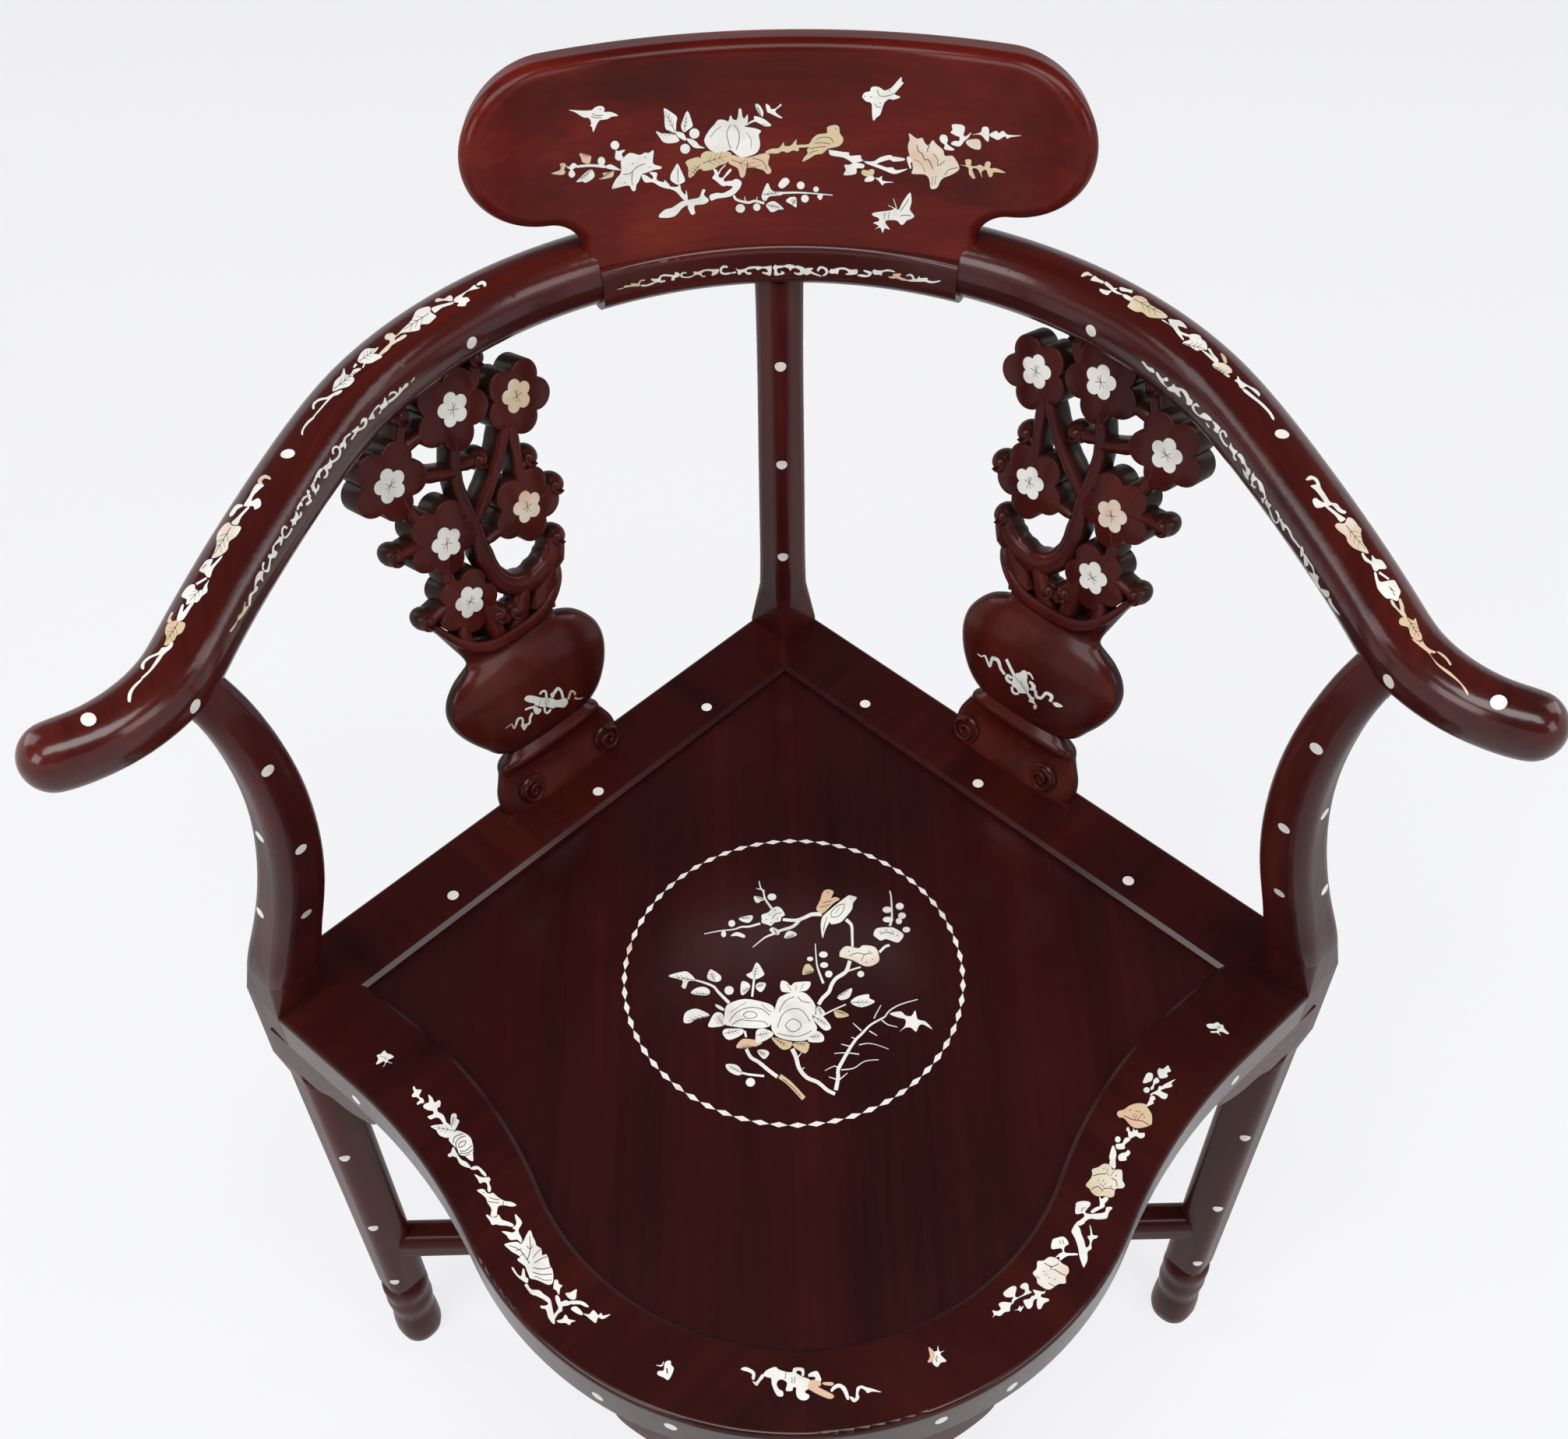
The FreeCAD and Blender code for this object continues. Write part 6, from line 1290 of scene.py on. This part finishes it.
ARM_LEFT_SCROLL = Drawing((345, 555), TENTH, """
plate 975,120 940,130 915,160 905,190 930,205 960,180 975,215 990,190 993,150
twig 22 30 830,282 820,240 835,202 870,187 905,210 915,255 900,310 865,350 825,380
plate 785,328 800,365 840,358 815,400 805,450 760,480 735,490 690,460 730,425 772,385
twig 28 20 735,480 750,515 745,550 728,575 705,585
plate 675,462 640,490 610,540 590,590 572,635 598,640 612,600 630,578 662,590 655,560 662,520 690,490
plate 560,648 555,670 538,690 548,715 555,745 590,780 600,810 610,775 635,745 650,700 640,672 625,670 \
  625,700 610,730 592,710 584,680 590,650
plate 490,742 490,780 497,820 510,860 515,880 480,910 475,925 490,945 515,925 550,890 552,875 535,850 \
  540,815 520,790 530,760
twig 28 20 490,820 450,845 425,885
plate 415,888 385,920 360,970 365,1005 385,985 390,960 415,948 432,950 430,915
plate 345,1012 340,1060 315,1110 275,1130 295,1155 300,1175 300,1215 315,1190 345,1185 350,1150 380,1115 \
  410,1090 425,1045 412,1020 402,1030 400,1065 385,1080 375,1055
twig 20 26 297,1235 270,1290 230,1342 195,1355 175,1320 170,1270 185,1225 210,1212 232,1238
plate 130,1345 165,1345 180,1380 160,1450 145,1450 145,1410 110,1430 78,1452 75,1438 120,1395 140,1375
""")
ARM_LEFT_LOWER = Drawing((150, 600), FIFTH, """
bud 52 44 0.15 -182,1620
plate 0.5 905,100 915,70 950,50 985,65 985,80 950,72 930,90 935,108
plate 820,235 850,190 895,110 945,115 920,140 880,180 865,220 905,200 925,220 920,255 885,272 875,250 \
  820,252
plate 725,300 765,245 800,240 810,250 775,270 750,305 728,318
plate 735,360 775,320 840,255 850,262 800,320 775,370
leaf 0.35 740,375 720,355 690,370 650,420 640,460 640,500 625,550 610,585 660,570 710,530 720,480 765,445 \
  795,400 790,380
plate 530,665 550,630 575,600 610,590 615,600 600,640 670,572 672,585 620,650 600,705 580,705 560,680
line 4 550,650 575,625
twig 14 12 510,752 577,712
leaf 0.15 592,725 570,750 545,790 505,785 500,755 470,758 440,785 415,830 450,850 445,882 485,870 520,865 \
  545,830 580,800 580,760
plate 385,980 410,900 425,880 430,890 425,930 470,880 495,872 470,910 440,960 415,985
plate 0.7 325,1000 335,960 355,930 362,940 345,970 355,990
leaf 0.85 400,990 380,985 325,1010 310,1060 320,1095 305,1140 320,1145 370,1110 385,1080 420,1060 440,1005
plate 0.1 155,1290 160,1260 200,1220 265,1190 290,1160 320,1155 350,1125 362,1130 350,1160 300,1205 270,1250 \
  220,1310 165,1360 160,1350 210,1300 260,1225 275,1205 220,1225 180,1260 175,1298
plate 70,1500 75,1450 110,1400 155,1362 162,1368 115,1420 95,1460 88,1508
plate 0.3 1045,450 1050,465 1020,490 1008,530 1030,545 1015,580 990,590 978,665 955,675 940,662 965,655 \
  980,590 970,580 975,560 995,555 1000,510
plate 0.3 935,615 948,612 940,640 945,660 932,655
plate 0.4 895,700 915,670 940,668 935,700 938,735 920,720 900,740 892,765 905,765 900,790 880,810 865,830 \
  855,888 845,885 850,820 880,790 885,740
plate 0.8 805,930 820,870 825,870 820,895 845,890 835,915 800,965 775,985 780,955
plate 0.9 775,980 765,1010 735,1055 725,1050 755,1010
""")

ARM_RIGHT_UPPER = Drawing((1370, 340), FIFTH, """
plate 0.4 90,72 110,50 135,48 165,72 130,68 100,78
plate 150,98 175,72 200,90 235,108 230,122 200,112 170,105
plate 240,125 248,108 280,130 300,150 325,152 310,165 355,190 340,192 300,178 270,150
plate 207,160 215,155 250,165 285,170 270,185 260,195 235,188 215,175
plate 335,150 350,145 390,158 418,165 415,182 385,175 345,168
plate 355,200 370,190 418,215 410,230 385,225
leaf 0.45 415,215 400,250 388,270 440,302 480,305 520,335 560,342 620,345 645,335 620,310 590,290 530,255 \
  510,225 480,205 440,200
plate 0.1 608,358 625,358 660,385 650,350 690,355 720,358 750,380 768,408 740,400 710,395 730,430 780,450 \
  770,462 735,450 750,480 740,482 700,435 670,395
leaf 0.35 742,505 760,490 790,480 775,455 810,445 850,455 865,480 890,500 900,545 870,545 830,552 790,525
plate 0.2 865,552 880,555 920,580 945,610 905,545 918,540 940,575 970,610 965,630 940,622
plate 0.6 985,572 1000,575 1020,600 1025,630 1010,630
leaf 0.4 932,645 950,625 980,630 1010,635 1050,665 1058,692 1030,700 1045,718 1030,722 990,690 950,665
plate 1075,745 1090,735 1095,715 1115,745 1160,775 1210,800 1238,830 1230,845 1215,830 1180,800 1150,782 \
  1130,795 1110,790 1095,760
plate 1125,805 1145,800 1200,845 1260,895 1310,950 1330,990 1318,995 1290,950 1230,890 1170,845
plate 0.1 478,622 495,625 520,655 550,665 562,692 545,690 520,675
plate 570,700 580,690 610,730 640,722 650,745 630,748 620,740 625,765 645,785 630,780 600,750
plate 640,790 670,780 685,765 700,785 740,795 770,820 790,860 805,870 800,900 770,895 765,860 740,815 \
  720,815 730,850 705,835 690,820 660,810
plate 0.1 800,910 830,888 850,915 820,905 820,930 850,965 880,950 920,980 930,1000 910,1000 880,990 850,975 \
  820,950
plate 890,1010 915,1040 905,1043
plate 0.1 930,1000 960,1020 985,1050 975,1065 970,1083 940,1060 950,1040
""")
ARM_RIGHT_SCROLL = Drawing((1505, 520), NINTH, """
twig 24 20 628,372 612,325 585,300 560,318 555,350 575,400 605,450 640,480
plate 0.2 675,435 690,478 722,515 757,535 740,560 722,580 728,610 748,638 722,640 703,605 702,565 680,528 \
  655,488 668,468
plate 765,560 800,575 835,630 850,680 870,720 895,740 905,780 895,800 880,830 880,870 850,840 825,790 \
  815,740 835,765 850,780 855,740 830,690 800,670 790,630 755,580
plate 945,772 948,815 985,850 980,870 945,880 935,910 945,935 970,945 950,968 925,940 905,925 920,900 \
  910,860 920,820 918,795 935,800
plate 990,860 1025,890 1055,950 1080,1050 1085,1075 1065,1100 1050,1138 1035,1110 1030,1070 1050,1080 \
  1065,1060 1045,1010 1015,990 1005,940 985,885
plate 1090,1090 1110,1130 1145,1160 1130,1180 1125,1215 1105,1190 1085,1150 1070,1130
twig 16 24 1125,1215 1145,1280 1175,1340 1205,1362 1230,1340 1230,1290 1210,1240 1192,1232
plate 1255,1310 1280,1360 1320,1390 1350,1430 1350,1460 1320,1425 1300,1420 1300,1450 1275,1445 1265,1400 \
  1245,1340
twig 26 20 1352,1450 1385,1530 1430,1590 1475,1650
""")

ARM_RIGHT_LOWER = Drawing((1670, 600), FIFTH, """
bud 56 48 1270,1510
plate 0.15 32,80 60,55 100,70 120,100 130,135 160,180 190,225 230,235 260,270 290,285 280,300 240,285 \
  200,245 170,255 145,250 150,225 120,180 90,145 62,120 100,110 80,80 50,85
plate 0.1 75,215 95,198 120,215 150,232 150,250 130,260 95,258
plate 160,258 185,258 240,300 285,330 275,345 250,350 220,310
leaf 0.5 280,362 235,360 220,380 245,410 290,445 300,480 340,520 400,545 435,555 420,520 400,490 385,430 \
  388,400 370,380 335,335 300,325
plate 0.1 390,560 400,550 415,575 455,605 455,565 480,590 520,600 550,650 500,655 495,665 470,665 450,625 \
  410,600
twig 14 12 502,676 565,720
plate 0.15 470,680 485,680 505,735 560,730 600,728 625,770 640,800 630,830 620,860 580,845 545,840 500,790 \
  487,760
line 4 565,770 590,790
line 4 590,805 605,825
line 4 575,785 600,800
plate 0.5 575,855 590,855 610,890 640,920 628,855 640,845 660,890 665,930 680,960 660,965 620,920 585,885
leaf 0.85 680,965 640,970 630,1000 650,1018 690,1030 705,1080 740,1110 775,1110 775,1080 760,1050 745,1000 \
  735,970 720,985
plate 0.6 715,1108 725,1105 770,1125 780,1115 800,1145 830,1170 865,1185 860,1195 830,1195 850,1230 890,1270 \
  950,1310 1000,1355 1050,1410 1075,1450 1065,1460 1030,1400 980,1355 920,1310 870,1265 825,1200 770,1155
plate 0.6 875,1188 890,1188 930,1215 965,1262 955,1272 930,1235
plate 0.1 0,510 15,520 20,560 10,572 0,570
plate 0.1 20,565 30,560 50,595 80,640 90,680 115,705 110,740 130,790 100,760 60,690 55,670 80,685 75,650 \
  45,605 48,630 25,630
plate 0.2 120,780 150,785 180,800 180,835 160,830
plate 0.2 175,850 190,842 205,880 250,945 240,942 200,900
""")


def make_inlays():
    """Each inlay has its carrier and the cell, in pixels, that its plates are cut into to follow a curve."""
    headboard = Inlay("headboard", Carrier(nodes["headboard"]), cell=12)
    headboard.draw(HEADBOARD_LEFT).draw(HEADBOARD_RIGHT).finish()
    Inlay("panel", Carrier(nodes["seat_panel"]), cell=60).draw(MEDALLION).finish()
    front = Inlay("front_frame", Carrier(nodes["front_rail_left"], nodes["front_rail_right"]), cell=60)
    front.draw(FRONT_LEFT).draw(FRONT_RIGHT).draw(FRONT_RIBBON).draw(INSECT_LEFT).draw(INSECT_RIGHT).finish()
    left = Inlay("arm_left", Carrier(nodes["arm_left"]), cell=3)
    left.draw(ARM_LEFT_UPPER).draw(ARM_LEFT_SCROLL).draw(ARM_LEFT_LOWER).finish()
    right = Inlay("arm_right", Carrier(nodes["arm_right"]), cell=3)
    right.draw(ARM_RIGHT_UPPER).draw(ARM_RIGHT_SCROLL).draw(ARM_RIGHT_LOWER).finish()
    middle = Inlay("middle_rail", Carrier(nodes["yoke_center"], nodes["arm_left"], nodes["arm_right"]), cell=4)
    middle.draw(MIDDLE_LEFT).draw(MIDDLE_RIGHT).finish()
    Inlay("vase_left", Carrier(splats["left"]), cell=4).draw(VASE_LEFT).finish()
    Inlay("vase_right", Carrier(splats["right"]), cell=4).draw(VASE_RIGHT).finish()


make_inlays()


# Floor, backdrop and soft studio light
STAGE_RADIUS, WALL_HEIGHT, BEND = 4.6, 2.4, 0.8
PALE_SHARE = 0.8
WORLD_STRENGTH = 0.06
# Each lamp's name, place, aim, width, height and power
LAMPS = [
    ("top_box", (0, -0.75, 2.9), (0, -0.2, 0.3), 2.0, 1.0, 46),
    ("key_left", (-1.9, -1.7, 2.4), (0, 0, 0.5), 1.4, 1.4, 35),
    ("fill_right", (2.1, -1.3, 2.1), (0, 0, 0.5), 1.2, 1.2, 18),
    ("rim_left", (-2.2, 1.0, 1.9), (0, 0, 0.6), 0.8, 1.6, 12),
    ("rim_right", (2.2, 1.0, 1.9), (0, 0, 0.6), 0.8, 1.6, 12),
]


def make_stage():
    """A round floor that bends up into a low wall, so that the ground stays pale from every side."""
    shape = bmesh.new()
    profile = [Vector((0, 0, 0)), Vector((STAGE_RADIUS - BEND, 0, 0))]
    profile += [Vector((STAGE_RADIUS - BEND + BEND * math.sin(a), 0, BEND - BEND * math.cos(a)))
                for a in (math.radians(15 * i) for i in range(1, 7))]
    profile.append(Vector((STAGE_RADIUS, 0, WALL_HEIGHT)))
    spots = [shape.verts.new(spot) for spot in profile]
    edges = [shape.edges.new(pair) for pair in zip(spots, spots[1:])]
    bmesh.ops.spin(shape, geom=spots + edges, cent=(0, 0, 0), axis=(0, 0, 1), angle=math.tau, steps=96,
                   use_merge=True)
    bmesh.ops.remove_doubles(shape, verts=shape.verts[:], dist=0.0005)
    bmesh.ops.recalc_face_normals(shape, faces=shape.faces[:])
    mesh = bpy.data.meshes.new("floor")
    shape.to_mesh(mesh)
    shape.free()
    floor = bpy.data.objects.new("floor", mesh)
    bpy.context.scene.collection.objects.link(floor)
    mesh.materials.append(pale_floor())


def pale_floor():
    """Pale as it is seen and mirrored, while a share of its own shader keeps the chair's shadow."""
    paint = Paint("pale_floor", Base_Color=(0.90, 0.905, 0.92), Roughness=0.9, Specular_IOR_Level=0.1)
    camera, glossy, transmission = (paint.node("LightPath", output=ray) for ray in
                                    ("Is Camera Ray", "Is Glossy Ray", "Is Transmission Ray"))
    seen = paint.clamp(camera + glossy + transmission)
    pale = paint.node("Emission", Color=(0.955, 0.957, 0.975), Strength=1.0)
    lit = Value(paint, paint.shader.outputs[0])
    mixed = paint.node("MixShader", n0=seen * PALE_SHARE, n1=lit, n2=pale)
    paint.tree.links.new(mixed.socket, paint.output.inputs["Surface"])
    return paint.material


def make_world():
    world = bpy.data.worlds.new("studio")
    bpy.context.scene.world = world
    world.use_nodes = True
    background = world.node_tree.nodes["Background"]
    background.inputs["Color"].default_value = (1.0, 1.0, 1.0, 1.0)
    background.inputs["Strength"].default_value = WORLD_STRENGTH


def soft_light(name, place, target, width, height, power):
    data = bpy.data.lights.new(name, "AREA")
    data.shape = "RECTANGLE"
    data.size, data.size_y = width, height
    data.energy = power
    lamp = bpy.data.objects.new(name, data)
    lamp.location = place
    lamp.rotation_mode = "QUATERNION"
    lamp.rotation_quaternion = (Vector(target) - Vector(place)).to_track_quat("-Z", "Y")
    bpy.context.scene.collection.objects.link(lamp)


make_camera()
make_stage()
make_world()
for lamp in LAMPS:
    soft_light(*lamp)

bpy.context.scene.view_settings.view_transform = "Standard"
